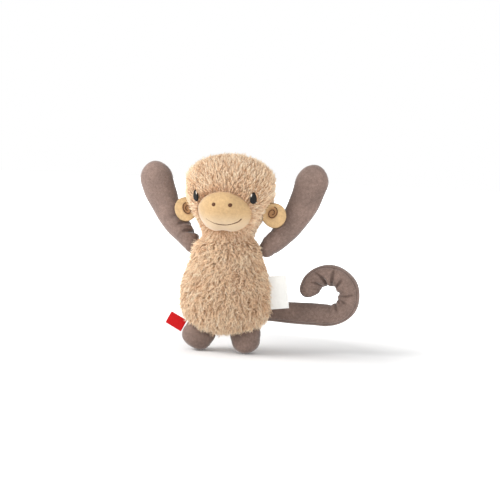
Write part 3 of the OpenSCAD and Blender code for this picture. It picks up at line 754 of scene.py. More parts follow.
def face_oval(points, middle, half, margin):
    """Below 1 inside an oval on the face, grown by a margin."""
    x = (points[:, 0] - middle[0]) / (half[0] + margin)
    z = (points[:, 2] - middle[1]) / (half[1] + margin)
    return np.where(points[:, 1] < NECK[1], np.hypot(x, z), 9.0)


MUZZLE_MIDDLE = (NECK[0], HEAD_LOW + MUZZLE_LEVEL)


def eye_middle(side):
    return (NECK[0] + SIDES[side] * (EYE_OUT - EYE_SHIFT[side]), HEAD_LOW + EYE_LEVEL)


# The head's pile is shorter, straighter and less gathered in locks than the body's
HEAD_LENGTH_SHARE = 0.78
HEAD_WANDER = 0.5
HEAD_GATHER = 0.5
HEAD_FIBRES = 0.85
HEAD_COATS = {
    name: {
        **coat,
        "count": int(coat["count"] * HEAD_FIBRES),
        "wander": coat["wander"] * HEAD_WANDER,
        "wave": coat["wave"] * HEAD_WANDER,
        "gather": coat["gather"] * HEAD_GATHER,
    }
    for name, coat in COATS.items()
}
# How far pile grows on under the rims of the muzzle and eyes, and how it is trimmed at the ears and eyes
MUZZLE_OVERLAP = 2.5 * MM
EYE_OVERLAP = 0.9 * MM
EAR_TRIM = 5 * MM
EYE_TRIM_SHARE = 0.4
EYE_TRIM_RUN = 1.2
# Height over which the brow's pile turns upwards, and where the painted shade in the pile under the chin starts
BROW_RISE = 15 * MM
CHIN_DROP = 10 * MM
CHIN_RUN = 8 * MM
# Strength and width of the painted shade in the pile along the muzzle's rim, at the brow and under the chin
BROW_SHADE = (0.4, 0.14)
CHIN_SHADE = (0.3, 0.2)
HEAD_TONE = 0.05


def head_grown(roots):
    keep = face_oval(roots, MUZZLE_MIDDLE, MUZZLE_HALF, -MUZZLE_OVERLAP) > 1
    for side in SIDES:
        keep &= face_oval(roots, eye_middle(side), EYE_HALF, -EYE_OVERLAP) > 1
    return keep


def head_groomed(roots, seed):
    """Pile of the head: combed away from the muzzle and over the chin, trimmed at the ears and eyes."""
    level = roots[:, 2]
    above = ease((level - MUZZLE_MIDDLE[1]) / BROW_RISE)
    below = ease((MUZZLE_MIDDLE[1] - CHIN_DROP - level) / CHIN_RUN)
    flow = unit(roots - np.array([MUZZLE_MIDDLE[0], NECK[1] - HEAD_HALF[1], MUZZLE_MIDDLE[1]]))
    flow[:, 2] += above - (1 - ease((level - HEAD_LOW) / NECK_PILE))
    short = np.full(len(roots), HEAD_LENGTH_SHARE)
    for side in SIDES:
        beside = np.linalg.norm(roots - JOINTS[f"{side}_ear_fold"]["pos_m"], axis=1) - EAR_TRIM
        short *= mix(TRIMMED_SHARE, 1.0, ease(beside / EAR_TRIM))
    for side in SIDES:
        beside = face_oval(roots, eye_middle(side), EYE_HALF, 0.0) - 1
        short = np.minimum(short, HEAD_LENGTH_SHARE * mix(EYE_TRIM_SHARE, 1.0, ease(beside / EYE_TRIM_RUN)))
    rim = face_oval(roots, MUZZLE_MIDDLE, MUZZLE_HALF, 0.0) - 1
    tone = HEAD_TONE + PATCH_TONE * lumps(roots, HEAD_PATCH, seed)
    # Painted shade in the pile along the muzzle's rim, at the brow and under the chin
    for (strength, width), where in ((BROW_SHADE, above), (CHIN_SHADE, below)):
        tone -= strength * bell(rim, width) * where
    return flow, short, tone


def add_head(part, span, seed):
    """One pile-fabric panel of the head: its backing and its pile."""
    faces = []
    for deep in (0, BACKING):
        face = panel_grid(head_skin, span, *HEAD_GRID, PILE_DEPTH + deep)
        faces.append(cored(face, face[0]))
    backing = add_sheet(f"head_{part}_backing", *faces, BACKING_CLOTH)
    place_piece(backing, "head", f"head_{part}_panel")
    grid = panel_grid(head_skin, span, *ROOT_GRID, PILE_DEPTH)
    middle_level = HEAD_LOW + HEAD_HEIGHT / 2
    add_pile(f"head_{part}", "head", grid, seed, HEAD_COATS, middle_level, head_grown, head_groomed)


# Face

# Rings from the middle of each pad to its rim, and points in a ring
MUZZLE_GRID = (40, 128)
MUZZLE_WAD_GRID = (24, 64)
EYE_GRID = (24, 72)
SPARK_GRID = (8, 24)
NOSTRIL_GRID = (12, 32)


def pad_rings(middle, outline, front, back, grid):
    """Rings of a pad from the middle of its front over its rim to the middle of its back."""
    rings, columns = grid
    share = sind(np.linspace(1, 90, rings))[:, None]
    a = np.linspace(0, 360, columns, endpoint=False)[None, :]
    x_reach, z_reach = outline(a)
    x = middle[0] + share * x_reach
    z = middle[1] + share * z_reach
    fore = np.stack([x, front(x, z, share, a), z], axis=-1)
    aft = np.stack([x, back(x, z, share, a), z], axis=-1)[::-1]
    return np.concatenate([fore, aft])


MUZZLE_SQUARENESS = 2.3
MUZZLE_SLIMMER = 0.97
MUZZLE_NARROWING = 0.25
MUZZLE_RIM_DEPTH = 3.4 * MM
# Powers of its dome: larger ones for a flatter middle and for a softer rim
DOME_POWERS = (2.2, 0.62)
# Notch at the muzzle's lower middle, as a share and a width in degrees, and the cleft that runs up from it
NOTCH = (0.1, 11)
CLEFT_DEPTH = 2.2 * MM
CLEFT_WIDTH = 3.2 * MM
CLEFT_DROP = 9.5 * MM
CLEFT_RUN = 9 * MM
# Depth and size of the lumps in its cloth and in the wad of filling inside it
MUZZLE_LUMPS = (0.18 * MM, 14 * MM)
MUZZLE_WAD_LUMPS = (0.4 * MM, 8 * MM)
# Painted light on its lower part, which is paler: share, start above the middle, and run
PAINTED_LIGHT_SHARE = 0.6
PAINTED_LIGHT_START = 2 * MM
PAINTED_LIGHT_RUN = 16 * MM
# Size of its wad of filling as a share
WAD_SHARE = 0.86


def muzzle_outline(a):
    """A wide oval, a little squarer than an ellipse, with a notch at its lower middle."""
    power = 2 / MUZZLE_SQUARENESS
    x = MUZZLE_SLIMMER * MUZZLE_HALF[0] * np.sign(cosd(a)) * np.abs(cosd(a)) ** power
    z = MUZZLE_HALF[1] * np.sign(sind(a)) * np.abs(sind(a)) ** power
    notch = 1 - NOTCH[0] * bell(a - 270, NOTCH[1])
    narrow = np.where(z > 0, 1 - MUZZLE_NARROWING * (z / MUZZLE_HALF[1]) ** 2, 1.0)
    return x * narrow, z * notch


def muzzle_front(x, z, share=None, a=None):
    """Depth of the muzzle's face: a dome that is fullest at its lower middle."""
    if share is None:
        away_x, away_z = x - MUZZLE_MIDDLE[0], z - MUZZLE_MIDDLE[1]
        share = np.hypot(away_x / MUZZLE_HALF[0], away_z / MUZZLE_HALF[1])
    dome = np.maximum(0, 1 - np.minimum(share, 1) ** DOME_POWERS[0]) ** DOME_POWERS[1]
    rim = head_front(x, z, MUZZLE_RIM_DEPTH)
    cleft = bell(x - MUZZLE_MIDDLE[0], CLEFT_WIDTH) * ease((MUZZLE_MIDDLE[1] - CLEFT_DROP - z) / CLEFT_RUN)
    return rim - (MUZZLE_RISE + MUZZLE_RIM_DEPTH) * dome + CLEFT_DEPTH * cleft * np.sqrt(dome)


def add_muzzle():
    rings = pad_rings(
        MUZZLE_MIDDLE, muzzle_outline, muzzle_front,
        lambda x, z, share, a: muzzle_front(x, z, share, a) + VELOUR, MUZZLE_GRID,
    )
    rings[..., 1] += MUZZLE_LUMPS[0] * lumps(rings, MUZZLE_LUMPS[1], seed=5)
    muzzle = add_rings("muzzle_velour", rings, GOLD)
    # Painted light: the muzzle's lower part is paler
    add_shade(muzzle, PAINTED_LIGHT_SHARE * ease((MUZZLE_MIDDLE[1] + PAINTED_LIGHT_START - rings[..., 2]) / PAINTED_LIGHT_RUN))
    place_piece(muzzle, "head", "muzzle_panel")

    def wad_outline(a):
        x, z = muzzle_outline(a)
        return WAD_SHARE * x, WAD_SHARE * z

    def wad_front(x, z, share, a):
        return muzzle_front(x, z, WAD_SHARE * share, a) + 2 * VELOUR

    def wad_back(x, z, share, a):
        return np.maximum(head_front(x, z, PILE_DEPTH) - 0.5 * MM, wad_front(x, z, share, a) + 0.5 * MM)

    rings = pad_rings(MUZZLE_MIDDLE, wad_outline, wad_front, wad_back, MUZZLE_WAD_GRID)
    rings[..., 1] += MUZZLE_WAD_LUMPS[0] * lumps(rings, MUZZLE_WAD_LUMPS[1], seed=6)
    wad = add_rings("muzzle_wadding", rings, WADDING)
    place_piece(wad, "head", "muzzle_filling")


# Points along and around a stitch, and the share by which it runs on into its neighbours
STITCH_GRID = (9, 8)
STITCH_OVERLAP = 0.04


def add_stitches(name, path, count, radii, material):
    """A line of back stitches along a path: each a small spindle that dips at both ends."""
    far = np.concatenate([[0], np.cumsum(np.linalg.norm(np.diff(path, axis=0), axis=1))])
    rows, columns = STITCH_GRID
    made = []
    for index in range(count):
        t = np.linspace(index - STITCH_OVERLAP, index + 1 + STITCH_OVERLAP, rows) / count
        spine = np.stack([np.interp(t * far[-1], far, path[:, i]) for i in range(3)], axis=-1)
        ahead = unit(np.gradient(spine, axis=0))
        across = unit(np.cross(ahead, [0.0, 1.0, 0.0]))
        out = np.cross(across, ahead)
        swell = np.sqrt(np.maximum(0.04, 1 - np.linspace(-1, 1, rows) ** 4))[:, None]
        radius = mix(*radii, (index + 0.5) / count) * swell
        turns = np.linspace(0, 360, columns, endpoint=False)
        rings = [spine + across * radius * cosd(a) + out * radius * sind(a) for a in turns]
        rings = np.stack(rings, axis=1)
        made.append(add_rings(f"{name}_{index}", rings, material))
    return joined(name, made)


# Satin pads: height at the rim, swell of the middle, and depth of the back below the cloth
EYE_PAD = (0.2 * MM, 0.8 * MM, 2.2 * MM)
SPARK_PAD = (1.05 * MM, 0.35 * MM, 1.5 * MM)
NOSTRIL_PAD = (0.1 * MM, 0.55 * MM, 0.4 * MM)
# Depth, pitch and slant of their threads
EYE_THREADS = (0.18 * MM, 0.8 * MM, 0.35)
NOSTRIL_THREADS = (0.12 * MM, 0.7 * MM, 0.5)


def satin(x, z, depth, pitch, slant):
    """Relief of side by side satin threads."""
    return depth * np.abs(sind(180 * (z + slant * x) / pitch)) ** 0.5


# White stitch in an eye: half sizes, lean, and place from the eye's middle, towards the nose and up
SPARK_HALF = (0.42 * MM, 1.5 * MM)
SPARK_LEAN = 0.25 * MM
SPARK_SHIFT = 1.5 * MM
SPARK_LEVEL = 2.4 * MM


def add_eye(side):
    """A teardrop of satin stitch, point upwards."""
    middle = eye_middle(side)

    def outline(a):
        turn = a - 90
        drop = np.abs(sind(turn / 2)) ** 0.75
        up = EYE_HALF[1] * cosd(turn)
        return EYE_HALF[0] * sind(-turn) * drop + SIDES[side] * EYE_LEAN[side] * up, up

    def front(x, z, share, a):
        swell = np.sqrt(np.maximum(0, 1 - share ** 2.5))
        return head_front(x, z) - EYE_PAD[0] - (EYE_PAD[1] + satin(x, z, *EYE_THREADS)) * swell

    def back(x, z, share, a):
        return head_front(x, z) + EYE_PAD[2]

    rings = pad_rings(middle, outline, front, back, EYE_GRID)
    eye = add_rings(f"{side}_eye_satin", rings, BLACK_THREAD)
    place_piece(eye, "head", f"{side}_eye")

    def spark(a):
        lean = SIDES[side] * SPARK_LEAN * sind(a)
        return SPARK_HALF[0] * cosd(a) + lean, SPARK_HALF[1] * sind(a)

    shift = SPARK_SHIFT - EYE_LEAN[side] * SPARK_LEVEL
    place = (middle[0] - SIDES[side] * shift, middle[1] + SPARK_LEVEL)
    rings = pad_rings(
        place, spark,
        lambda x, z, share, a: head_front(x, z) - SPARK_PAD[0] - SPARK_PAD[1] * np.sqrt(1 - share ** 2),
        lambda x, z, share, a: head_front(x, z) + SPARK_PAD[2], SPARK_GRID,
    )
    return add_rings(f"{side}_eye_spark", rings, WHITE_THREAD)


def add_nostril(side):
    middle = (NECK[0] + NOSE_SHIFT + SIDES[side] * NOSTRIL_OUT, HEAD_LOW + NOSTRIL_LEVEL)

    def front(x, z, share, a):
        swell = np.sqrt(np.maximum(0, 1 - share ** 2))
        return muzzle_front(x, z) - NOSTRIL_PAD[0] - NOSTRIL_PAD[1] * swell - satin(x, z, *NOSTRIL_THREADS)

    rings = pad_rings(
        middle, lambda a: (NOSTRIL_RADIUS * cosd(a), NOSTRIL_RADIUS * sind(a)), front,
        lambda x, z, share, a: muzzle_front(x, z) + NOSTRIL_PAD[2], NOSTRIL_GRID,
    )
    return add_rings(f"{side}_nostril_satin", rings, BROWN_THREAD)


def add_face():
    add_muzzle()
    sparks = joined("eye_highlight_stitches", [add_eye(side) for side in SIDES])
    nostrils = joined("nostril_stitches", [add_nostril(side) for side in SIDES])
    t = np.linspace(-1, 1, 40)
    x = NECK[0] + NOSE_SHIFT + MOUTH_HALF * t
    upturn = MOUTH_UPTURN * np.maximum(0, t - 0.85) / 0.15
    z = HEAD_LOW + MOUTH_LEVEL - MOUTH_SAG * (1 - t ** 2) + upturn
    path = np.stack([x, muzzle_front(x, z) - STITCH_LIFT, z], axis=-1)
    mouth = add_stitches("mouth_stitches", path, MOUTH_STITCHES, MOUTH_YARN, BROWN_THREAD)
    place_piece(sparks, "head", "eye_highlights")
    place_piece(nostrils, "head", "nostrils")
    place_piece(mouth, "head", "mouth_stitch")


# Ears

EAR_RADIUS = 11.8 * MM
EAR_HALF = 2.6 * MM
EAR_REACH = {"left": 6.2 * MM, "right": 2.6 * MM}
EAR_WIDTH = {"left": 1.0, "right": 0.92}
# How far an ear's cloth runs on over the pile at its root, beyond its round, and over how many degrees
EAR_ROOT_RUN = 3.5 * MM
EAR_ROOT_SPAN = 40
# Direction of an ear's blunt point, its width in degrees, and the share by which it stands out
EAR_POINT = (320, 28, 0.07)
# Hollow round the embroidery, and the run of the darker tone inside the spiral
EAR_DRAWN_WIDTH = 6.5 * MM
EAR_DRAWN_DEPTH = 1.5 * MM
EAR_DARK_START = 3 * MM
EAR_DARK_RUN = 3.5 * MM
EAR_DARK_SHARE = 0.8
# Puckers of an ear's seam: depth, width as a share of the ear, and number
EAR_PUCKERS = (0.25 * MM, 0.05, 20)
EAR_GRID = (26, 72)
SPIRAL_TURNS = 1.5
SPIRAL_RADII = (1.2 * MM, 5.0 * MM)
SPIRAL_START = 110
SPIRAL_TALL = 1.25
SPIRAL_YARN = (0.45 * MM, 0.5 * MM)
SPIRAL_STITCHES = 18
# Place of the spiral from the middle of the ear, outwards and up
SPIRAL_MIDDLE = {"left": (-2.6 * MM, 1.2 * MM), "right": (-2.4 * MM, -0.8 * MM)}


def ear_frame(side):
    """Pivot, outward and upward directions of an ear."""
    joint = JOINTS[f"{side}_ear_fold"]
    lean = math.asin(abs(joint["axis"][0]))
    out = np.array([SIDES[side] * math.cos(lean), 0, -math.sin(lean)])
    up = np.array([SIDES[side] * math.sin(lean), 0, math.cos(lean)])
    return np.array(joint["pos_m"]), out, up


def ear_point(side, o, u, depth):
    pivot, out, up = ear_frame(side)
    place = pivot + (EAR_REACH[side] + EAR_WIDTH[side] * o)[..., None] * out + u[..., None] * up
    return place + depth[..., None] * np.array([0.0, 1.0, 0.0])


def ear_outline(a):
    """Round, a little pointed outwards and down, and narrower where it runs on to its root."""
    turn, width, share = EAR_POINT
    root = bell(a - 180, EAR_ROOT_SPAN)
    radius = EAR_RADIUS * (1 + share * bell(a - turn, width))
    return radius * cosd(a) - EAR_ROOT_RUN * root, radius * sind(a)


def ear_lens(share):
    return np.sqrt(1 - share ** 2.4)


def ear_front_depth(o, u, spiral):
    """Plump near the rim, and drawn in round the embroidery."""
    lens = ear_lens(np.minimum(np.hypot(o, u) / EAR_RADIUS, 1))
    drawn = bell(np.hypot(o - spiral[0], u - spiral[1]), EAR_DRAWN_WIDTH)
    return -EAR_HALF * lens + EAR_DRAWN_DEPTH * drawn * lens


def add_ear(side):
    """Two velour rounds sewn together at their rim, with a spiral stitched on the front one."""
    rings, columns = EAR_GRID
    share = sind(np.linspace(1, 90, rings))[:, None]
    a = np.linspace(0, 360, columns, endpoint=False)[None, :]
    edge_o, edge_u = ear_outline(a)
    o, u = share * edge_o, share * edge_u
    depth, width, number = EAR_PUCKERS
    seam = depth * bell(1 - share, width) * np.abs(sind(a * number / 2))
    lens = ear_lens(share) + 0 * a
    middle = ear_point(side, o, u, 0 * lens)
    middle_o, middle_u = SPIRAL_MIDDLE[side]
    depths = {"front": ear_front_depth(o, u, SPIRAL_MIDDLE[side]) * lens ** 0.3 + seam,
              "back": EAR_HALF * lens - seam}
    from_spiral = np.hypot(o - middle_o, (u - middle_u) / SPIRAL_TALL)
    inside = 1 - ease((from_spiral - EAR_DARK_START) / EAR_DARK_RUN)
    for part, depth in depths.items():
        rings = np.concatenate([ear_point(side, o, u, depth), middle[::-1]])
        ear = add_rings(f"{side}_ear_{part}_velour", rings, EAR_GOLD)
        shade = EAR_DARK_SHARE * inside * (part == "front")
        add_shade(ear, np.concatenate([shade, 0 * shade]))
        place_piece(ear, f"{side}_ear", f"{side}_ear_{part}")
    t = np.linspace(0, 1, 80)
    turn = SPIRAL_START - 360 * SPIRAL_TURNS * (1 - t)
    radius = mix(*SPIRAL_RADII, t)
    o = middle_o + radius * cosd(turn)
    u = middle_u + SPIRAL_TALL * radius * sind(turn)
    path = ear_point(side, o, u, ear_front_depth(o, u, SPIRAL_MIDDLE[side]) - STITCH_LIFT)
    name = f"{side}_ear_spiral"
    spiral = add_stitches(f"{name}_stitches", path, SPIRAL_STITCHES, SPIRAL_YARN, BROWN_THREAD)
    place_piece(spiral, f"{side}_ear", name)


# Limbs

# Least half size of a limb at its ends
LEAST_LIMB = 0.15 * MM


class Limb:
    """A stuffed tube with a round root at its pivot and a rounded far end.

    Heading, half_width and half_depth are functions of the distance along it. A wide root takes its width
    from half_width too. Underside is a side, 1 or -1, with the share to which it is drawn in along the limb.
    """

    def __init__(self, pivot, heading, depth, half_width, half_depth, root, length, end,
                 wide_root=False, underside=None):
        self.pivot = np.array(pivot)
        self.heading = heading
        self.depth = np.array(depth)
        self.half_width = half_width
        self.half_depth = half_depth
        self.root = root
        self.length = length
        self.end = end
        self.wide_root = wide_root
        self.underside = underside

    def lengths(self, rows):
        """Distances along the limb, close together round both ends."""
        ends = rows // 4
        start = -self.root * cosd(np.linspace(0, 90, ends, endpoint=False))
        run = np.linspace(0, self.length - self.end, rows - 2 * ends, endpoint=False)
        finish = self.length - self.end + self.end * sind(np.linspace(0, 90, ends))
        return np.concatenate([start, run, finish])

    def middles(self, s, growth):
        """Points of the middle line, from small steps along the heading."""
        fine = np.linspace(0, self.length, 400)
        half_way = (fine[1:] + fine[:-1]) / 2
        steps = self.heading(half_way) * (growth(half_way) * (fine[1] - fine[0]))[:, None]
        path = np.concatenate([[[0, 0, 0]], np.cumsum(steps, axis=0)])
        place = np.stack([np.interp(s, fine, path[:, i]) for i in range(3)], axis=-1)
        return self.pivot + place + np.minimum(s, 0)[:, None] * self.heading(np.zeros(1))

    def skin(self, s, a, growth=np.ones_like):
        ball = self.root * rounding(self.root + np.minimum(s, 0), self.root, 2)
        width = self.half_width(s) if self.wide_root else np.where(s < 0, ball, self.half_width(s))
        wide = np.maximum(width, LEAST_LIMB)[:, None, None]
        deep = np.maximum(np.where(s < 0, ball, self.half_depth(s)), LEAST_LIMB)[:, None, None]
        across = np.cross(self.depth, self.heading(np.maximum(s, 0)))
        turn = a[None, :, None]
        middle = self.middles(s, growth)[:, None]
        out = np.broadcast_to(cosd(turn), (len(s), len(a), 1))
        if self.underside:
            way, share = self.underside
            out = np.where(out * way > 0, out * share(s)[:, None, None], out)
        return middle + across[:, None] * wide * out + self.depth * deep * sind(turn)


def tube_normals(points):
    """Outward normals of a closed tube of points."""
    along = np.gradient(points, axis=0)
    around = np.roll(points, -1, axis=1) - np.roll(points, 1, axis=1)
    normal = unit(np.cross(around, along))
    away = points - points.mean(axis=1, keepdims=True)
    inward = np.sum(normal * away) < 0
    return -normal if inward else normal


# Depth at which a fold takes its full painted shade, and the share of that painted shade, which the darker line
# along the seams takes too
FOLD_DEPTH = 0.6 * MM
FOLD_SHADE = 0.6


def painted_fold_shade(points, normals):
    """Share of painted shade by how deep points of a tube lie in a fold."""
    around = (np.roll(points, 2, axis=1) + np.roll(points, -2, axis=1)) / 2
    along = points.copy()
    along[3:-3] = (points[6:] + points[:-6]) / 2
    sunk = np.sum((around + along - 2 * points) * normals, axis=-1)
    return np.clip(sunk / FOLD_DEPTH, 0, 1) * FOLD_SHADE


# Links of the cloth's grid, as steps along and around the tube: threads, slants, and stiffness to bending
CLOTH_LINKS = {(1, 0): 1.0, (0, 1): 1.0, (1, 1): 0.4, (1, -1): 0.4, (4, 0): 0.35, (0, 3): 0.3}
# Unevenness at the start, swelling of the filling in each round, and how far a point may move in all
CLOTH_START = 0.4 * MM
CLOTH_START_SIZE = 9 * MM
CLOTH_SWELL = 0.02 * MM
CLOTH_REACH = 3.0 * MM


def cloth_batches(rows, columns):
    """Pairs of linked points with their stiffness, in batches where no point comes twice."""
    index = np.arange(rows * columns).reshape(rows, columns)
    for (along, around), stiffness in CLOTH_LINKS.items():
        first = index[:rows - along]
        second = np.roll(index, -around, axis=1)[along:]
        if along:
            order = np.arange(rows - along)[:, None] // along
        else:
            order = np.arange(columns)[None, :] // around
        odd = np.broadcast_to(order % 2 == 1, first.shape)
        for batch in (odd, ~odd):
            yield first[batch], second[batch], stiffness


def settled(plain, slack, held, rounds):
    """A tube of cloth, cut as its slack shape, stuffed and let settle from its plain shape."""
    rows, columns = plain.shape[:2]
    points = plain.reshape(-1, 3).copy()
    cut = slack.reshape(-1, 3)
    loose = 1 - held.reshape(-1, 1)
    links = []
    for first, second, stiffness in cloth_batches(rows, columns):
        length = np.linalg.norm(cut[second] - cut[first], axis=1, keepdims=True)
        share = loose[first] + loose[second]
        links.append((first, second, length, stiffness / np.maximum(share, 1)))
    for _ in range(rounds):
        points += loose * CLOTH_SWELL * tube_normals(points.reshape(plain.shape)).reshape(-1, 3)
        for first, second, length, stiffness in links:
            apart = points[second] - points[first]
            far = np.maximum(np.linalg.norm(apart, axis=1, keepdims=True), 1e-9)
            pull = apart * (stiffness * (1 - length / far))
            points[first] += loose[first] * pull
            points[second] -= loose[second] * pull
    moved = points.reshape(plain.shape) - plain
    far = np.linalg.norm(moved, axis=-1, keepdims=True)
    return plain + moved * np.minimum(1, CLOTH_REACH / np.maximum(far, 1e-9))


SEAM_WIDTH = 1.0 * MM
SEAM_DEPTH = 0.5 * MM
SEAM_END = 4 * MM
# Small puckers beside a seam, and the lumps of the filling under the cloth
PUCKER_PITCH = 3.4 * MM
PUCKER_DEPTH = 0.14 * MM
PUCKER_WIDTH = 3.2 * MM
LUMP_DEPTH = 0.3 * MM
LUMP_SIZE = 24 * MM


def seam_distance(limb, s, columns):
    """Distances round a limb from the nearer of its two seams."""
    girth = np.maximum(limb.half_width(np.maximum(s, 0)), 2 * MM)
    turned = np.linspace(0, 360, columns, endpoint=False) % 180
    return np.radians(np.minimum(turned, 180 - turned))[None, :] * girth[:, None]


def seam_relief(limb, s, off, seed):
    """Depth of the seams' grooves, with the small puckers beside them."""
    pucker = np.sin(2 * np.pi * s / PUCKER_PITCH + 1.5 * np.sin(s * 90 + seed))
    relief = PUCKER_DEPTH * pucker[:, None] * bell(off, PUCKER_WIDTH) - SEAM_DEPTH * bell(off, SEAM_WIDTH)
    fade = ease((s + limb.root) / limb.root) * ease((limb.length - s) / SEAM_END)
    return relief * fade[:, None]


def add_limb(name, limb, slack, growth, held, grid, rounds, seed, twist=0, creases=None, floor=None):
    """Front and back velour panels of a limb.

    The cloth is cut as the slack limb, longer where growth is over 1, and keeps still where held is 1.
    """
    rows, columns = grid
    s = limb.lengths(rows)
    a = (twist + np.linspace(0, 360, columns, endpoint=False)) % 360
    plain = limb.skin(s, a)
    fixed = np.clip(held(s[:, None], a[None, :]), 0, 1)
    uneven = CLOTH_START * (1 - fixed) * lumps(plain, CLOTH_START_SIZE, seed)
    start = plain + tube_normals(plain) * uneven[..., None]
    outer = settled(start, slack.skin(s, a, growth), fixed, rounds)
    normals = tube_normals(outer)
    off = seam_distance(limb, s, columns)
    relief = seam_relief(limb, s, off, seed) + LUMP_DEPTH * lumps(plain, LUMP_SIZE, seed)
    if creases:
        relief += creases(s[:, None], a[None, :])
    outer = outer + normals * relief[..., None]
    inner = outer - normals * VELOUR
    # Painted shade in the folds, and a darker line along the seams
    shade = np.maximum(painted_fold_shade(outer, normals), FOLD_SHADE * bell(off, SEAM_WIDTH / 2))
    if floor is not None:
        outer[..., 2] = np.maximum(outer[..., 2], floor)
        inner[..., 2] = np.maximum(inner[..., 2], floor + VELOUR)
    half = columns // 2
    for part, span in (("front", np.arange(half, columns + 1) % columns), ("back", np.arange(half + 1))):
        panel = add_sheet(f"{name}_{part}_velour", outer[:, span], inner[:, span], TAUPE)
        add_shade(panel, np.concatenate([shade[:, span], shade[:, span]]))
        place_piece(panel, name, f"{name}_{part}_panel")


# Points along and around each limb's cloth, and rounds till it has settled
ARM_GRID = (150, 72)
ARM_ROUNDS = 160
LEG_GRID = (80, 72)
LEG_ROUNDS = 120
TAIL_GRID = (320, 80)
TAIL_ROUNDS = 200
# Lengths at an arm's and a leg's root where the cloth is sewn down and keeps still
ARM_SEWN = 3 * MM
LEG_SEWN = 6 * MM


def add_arm(side, seed):
    lean, bend, way = ARM_LEAN[side], ARM_BEND[side], SIDES[side]

    def raised(turn):
        def heading(s):
            a = lean + turn * (1 - ease(s / SHOULDER_RUN)) - bend * ease(s / ARM_LENGTH)
            return np.stack([way * sind(a), cosd(a) * sind(ARM_TILT), cosd(a) * cosd(ARM_TILT)], axis=-1)
        return heading

    def half(axis):
        def size(s):
            swell = ease(s / (ARM_LENGTH - HAND_ROUNDING / 2))
            return mix(ARM_ROOT, HAND_HALF[axis], swell) * rounding(ARM_LENGTH - s, HAND_ROUNDING, 2)
        return size

    def drawn_in(s):
        return mix(ARM_DRAWN_IN, 1.0, ease(s / ARM_DRAWN_RUN))

    def growth(s):
        return 1 + SHOULDER_CUT_LONGER[side] * (1 - ease(s / SHOULDER_RUN))

    def held(s, a):
        return np.maximum(1 - ease(s / ARM_SEWN), ease(s / SHOULDER_RUN - 1)) + 0 * a

    pivot = JOINTS[f"{side}_shoulder"]["pos_m"]
    depth = (0, cosd(ARM_TILT), -sind(ARM_TILT))
    limb, slack = (Limb(pivot, raised(turn), depth, half(0), half(1), ARM_ROOT, ARM_LENGTH, HAND_ROUNDING,
                        underside=(way, drawn_in)) for turn in (0, SHOULDER_CUT_TURN[side]))
    add_limb(f"{side}_arm", limb, slack, growth, held, ARM_GRID, ARM_ROUNDS, seed)


def add_leg(side, seed):
    splay, way = LEG_SPLAY[side], SIDES[side]
    pivot = JOINTS[f"{side}_hip"]["pos_m"]
    power = FOOT_SQUARENESS / (FOOT_SQUARENESS - 1)
    drop = ((LEG_HALF[0] * sind(splay)) ** power + (FOOT_ROUNDING * cosd(splay)) ** power) ** (1 / power)
    length = FOOT_ROUNDING + (pivot[2] + SOLE_CUT - drop) / cosd(splay)

    def heading(s):
        return np.tile([way * sind(splay), 0.0, -cosd(splay)], (len(s), 1))

    def half_width(s):
        top = rounding(LEG_ROOT + s, LEG_ROOT, LEG_TOP_SQUARENESS)
        return LEG_HALF[0] * top * rounding(length - s, *LEG_TAPER[side])

    def half_depth(s):
        foot = rounding(length - s, FOOT_ROUNDING, FOOT_SQUARENESS)
        return mix(LEG_ROOT, LEG_HALF[1], ease(s / LEG_ROOT)) * foot

    def growth(s):
        return 1 + LEG_CUT_LONGER * np.ones_like(s)

    def held(s, a):
        root = 1 - ease(s / LEG_SEWN)
        tip = ease((s - length + FOOT_ROUNDING) / FOOT_ROUNDING)
        return np.maximum(root, tip) + 0 * a

    limb = Limb(pivot, heading, (0, 1, 0), half_width, half_depth, LEG_ROOT, length, FOOT_ROUNDING,
                wide_root=True)
    add_limb(f"{side}_leg", limb, limb, growth, held, LEG_GRID, LEG_ROUNDS, seed, floor=0.0)


# Creases drawn into the tail's curl: turn along the curl, degrees round the tube from its inner line that
# a crease reaches, depth, and slant
TAIL_CREASES = [
    (68, 100, 0.9 * MM, -5 * MM),
    (88, 170, 1.1 * MM, 2 * MM),
    (116, 110, 0.5 * MM, 2 * MM),
    (142, 90, 0.5 * MM, 0 * MM),
    (166, 185, 1.5 * MM, 1 * MM),
    (182, 165, 1.8 * MM, 7 * MM),
    (206, 120, 1.4 * MM, 9 * MM),
]
CREASE_WIDTH = 1.3 * MM
CREASE_PUFF = 0.45
# Share of a crease's depth on the inner line, and the degrees off it where the crease is at its deepest
CREASE_START = (0.15, 45)
# The tail's seams are turned forwards, so that the lower one shows from the front
TAIL_SEAM_TURN = 40
# Runs over which the longer cut starts and over which the stiff tip keeps still
TAIL_GROWTH_RUN = 10 * MM
TAIL_TIP = 26 * MM
TAIL_TIP_RUN = 16 * MM


def tail_creases(s, a, curl):
    """Relief of narrow creases that run out from the inner line of the curl, puffed up on both sides."""
    off = np.abs(a - 180)
    total = 0
    for turn, reach, depth, slant in TAIL_CREASES:
        along = s - TAIL_RUN - curl * turn / TAIL_CURL_TURN - slant * off / 90
        start = mix(CREASE_START[0], 1.0, ease(off / CREASE_START[1]))
        fade = start * (1 - ease((off - 0.4 * reach) / (0.6 * reach)))
        puff = CREASE_PUFF * bell(np.abs(along) - 3 * CREASE_WIDTH, 2 * CREASE_WIDTH)
        groove = np.exp(-np.abs(along) / CREASE_WIDTH) - puff
        total = total - depth * fade * groove
    return total


